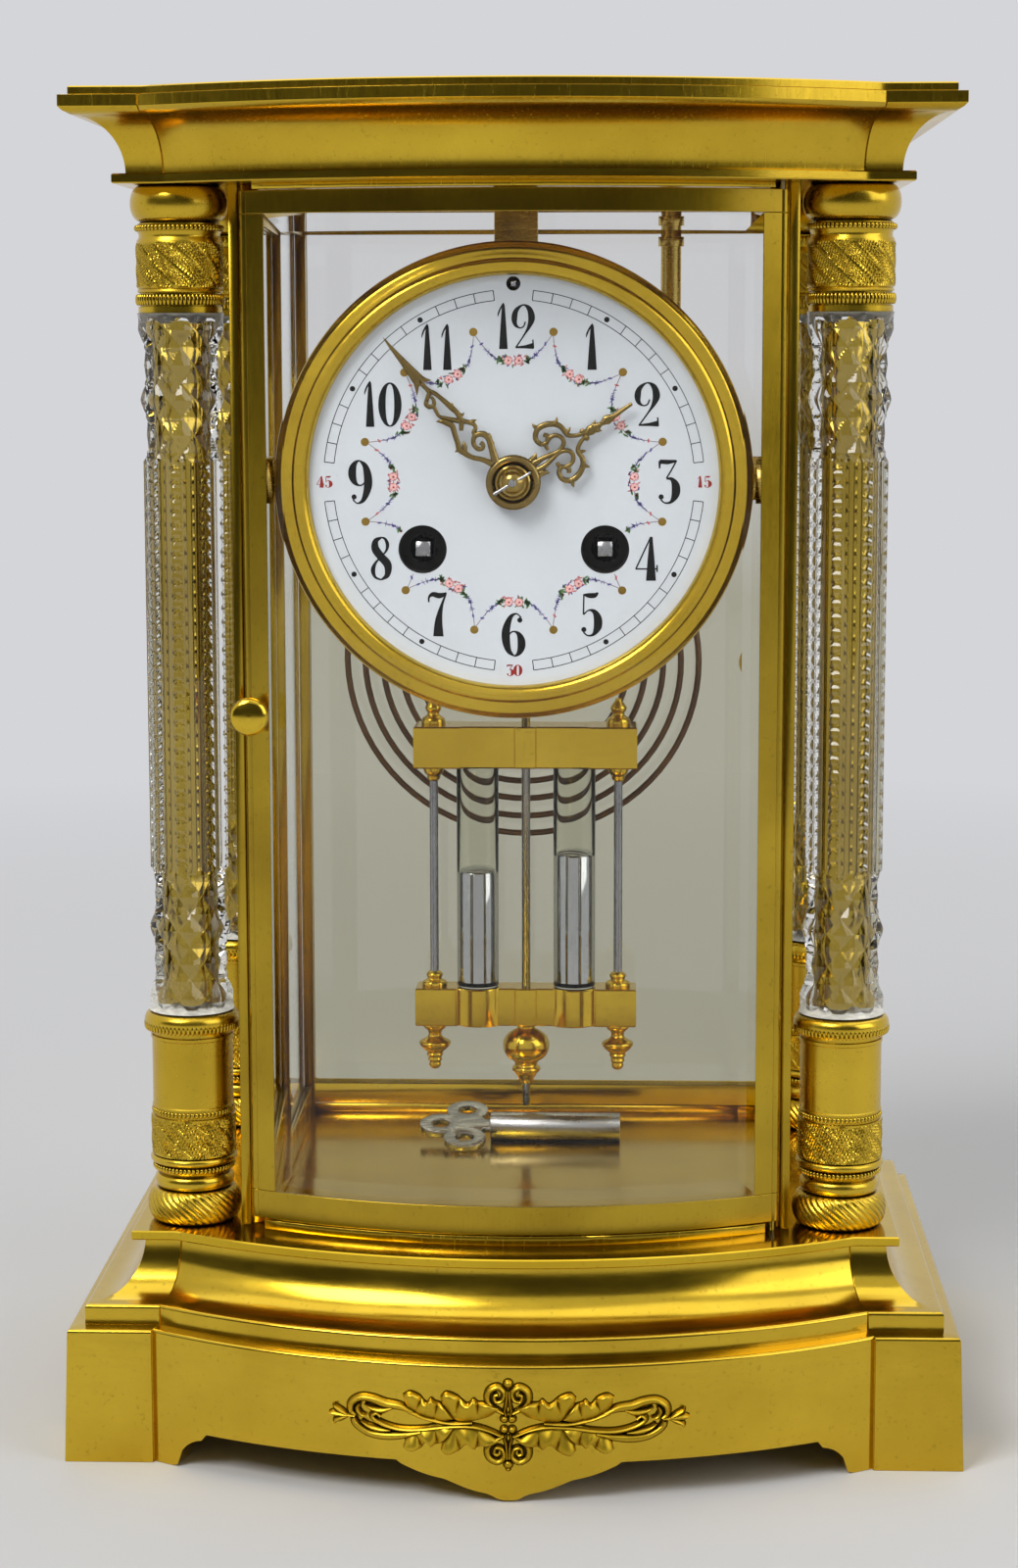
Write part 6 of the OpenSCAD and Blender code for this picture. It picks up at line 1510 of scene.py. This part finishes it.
def seen_rays(nodes):
    """One for rays from the camera, a reflection or a pane of glass, and none for light."""
    path = nodes.add("ShaderNodeLightPath").outputs
    found = path["Is Camera Ray"]
    for label in ("Is Glossy Ray", "Is Transmission Ray"):
        found = nodes.add("ShaderNodeMath", {0: found, 1: path[label]}, operation="MAXIMUM").outputs[0]
    return found


def sheet(name, corners, finish):
    """Flat piece of the stage."""
    mesh = bpy.data.meshes.new(name)
    mesh.from_pydata(corners, [], [(0, 1, 2, 3)])
    mesh.materials.append(finish.material)
    made = bpy.data.objects.new(name, mesh)
    bpy.context.scene.collection.objects.link(made)
    return made


def pale_floor():
    """Floor that takes the shadow near the clock and fades into the backdrop."""
    f = Finish("stage_pale")
    f.set(Roughness=0.75, Base_Color=f.mix(f.range(f.noise(3)), (0.72, 0.72, 0.72), (0.7, 0.7, 0.705)))
    away = f.add("ShaderNodeVectorMath", {0: f.coords}, operation="LENGTH").outputs["Value"]
    share = f.range(away, 0.0, 1.0, FADE_START, FADE_STOP)
    fade = f.add("ShaderNodeMath", {0: share, 1: seen_rays(f)}, operation="MULTIPLY")
    far = f.add("ShaderNodeEmission", {"Color": PALE})
    blend = f.add("ShaderNodeMixShader", {0: fade.outputs[0], 1: f.shader.outputs[0], 2: far.outputs[0]})
    f.put(blend.outputs[0], f.out)
    e = FLOOR_HALF
    return sheet("stage_floor", [(-e, -e, 0), (e, -e, 0), (e, e, 0), (-e, e, 0)], f)


def dark_card():
    """Card in front of the clock that only its reflections show, paler towards its ends."""
    f = Finish("stage_grey")
    side = f.add("ShaderNodeMath", {0: f.axis("X")}, operation="ABSOLUTE").outputs[0]
    f.set(Roughness=0.9, Base_Color=f.mix(f.range(side, 0.0, 1.0, 1.8, 3.0), (0.05, 0.05, 0.05), (0.2, 0.2, 0.2)))
    made = sheet("stage_card", [(x, CARD_Y, z) for x, z in ((-CARD_HALF, 0), (CARD_HALF, 0), (CARD_HALF, CARD_TOP),
                                                            (-CARD_HALF, CARD_TOP))], f)
    for key in ("visible_camera", "visible_diffuse", "visible_shadow", "visible_transmission"):
        setattr(made, key, False)
    return made


class CLOCK_OT_stage(bpy.types.Operator):
    """Floor, soft light and the camera of the photograph"""

    bl_idname = "clock.stage"
    bl_label = "Stage"

    def execute(self, context):
        scene = context.scene
        scene.view_settings.view_transform = "Standard"
        pale_floor()
        dark_card()
        scene.world = scene.world or bpy.data.worlds.new("studio")
        scene.world.use_nodes = True
        sky = Nodes(scene.world.node_tree)
        light = sky.add("ShaderNodeBackground", {"Color": WORLD_TINT, "Strength": WORLD_LIGHT})
        backdrop = sky.add("ShaderNodeBackground", {"Color": PALE, "Strength": 1.0})
        mixed = sky.add("ShaderNodeMixShader", {0: seen_rays(sky), 1: light.outputs[0], 2: backdrop.outputs[0]})
        sky.add("ShaderNodeOutputWorld", {"Surface": mixed.outputs[0]})
        for name, place, size, power in LAMPS:
            lamp = bpy.data.lights.new(name, "AREA")
            lamp.size, lamp.energy = size, power
            holder = bpy.data.objects.new(name, lamp)
            holder.location = place
            holder.rotation_euler = (Vector(LAMP_AIM) - Vector(place)).to_track_quat("-Z", "Y").to_euler()
            scene.collection.objects.link(holder)
        lens = bpy.data.cameras.new("photo_camera")
        lens.sensor_width, lens.lens = SENSOR, FOCAL_PIXELS / PHOTO_PIXELS * SENSOR
        lens.clip_start, lens.clip_end = 0.01, 50
        camera = bpy.data.objects.new("photo_camera", lens)
        camera.location = CAMERA_AT
        camera.rotation_euler = [math.radians(turn) for turn in (CAMERA_PITCH, CAMERA_ROLL, CAMERA_YAW)]
        scene.collection.objects.link(camera)
        scene.camera = camera
        return {"FINISHED"}


PIECES = (CLOCK_OT_base, CLOCK_OT_crown, CLOCK_OT_apron_mount, CLOCK_OT_columns, CLOCK_OT_doors, CLOCK_OT_dial,
          CLOCK_OT_hands, CLOCK_OT_gong, CLOCK_OT_pendulum, CLOCK_OT_movement, CLOCK_OT_stage)


class CLOCK_PT_sidebar(bpy.types.Panel):
    """Lists the clock's pieces and their sizes and finishes"""

    bl_idname = "CLOCK_PT_sidebar"
    bl_label = "Crystal regulator clock"
    bl_space_type = "VIEW_3D"
    bl_region_type = "UI"
    bl_category = "Clock"

    def draw(self, context):
        for maker in PIECES:
            self.layout.operator(maker.bl_idname, text=maker.bl_label)
        for group in (context.scene.clock_sizes, context.scene.clock_finishes):
            box = self.layout.box()
            for key in group.__annotations__:
                box.prop(group, key)


CLASSES = (ClockFinishes, ClockSizes, *PIECES, CLOCK_PT_sidebar)


def register():
    for item in CLASSES:
        bpy.utils.register_class(item)
    bpy.types.Scene.clock_finishes = PointerProperty(type=ClockFinishes)
    bpy.types.Scene.clock_sizes = PointerProperty(type=ClockSizes)


def unregister():
    del bpy.types.Scene.clock_sizes
    del bpy.types.Scene.clock_finishes
    for item in reversed(CLASSES):
        bpy.utils.unregister_class(item)


def main():
    register()
    for maker in PIECES:
        group, name = maker.bl_idname.split(".")
        getattr(getattr(bpy.ops, group), name)()
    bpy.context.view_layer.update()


if __name__ == "__main__":
    main()
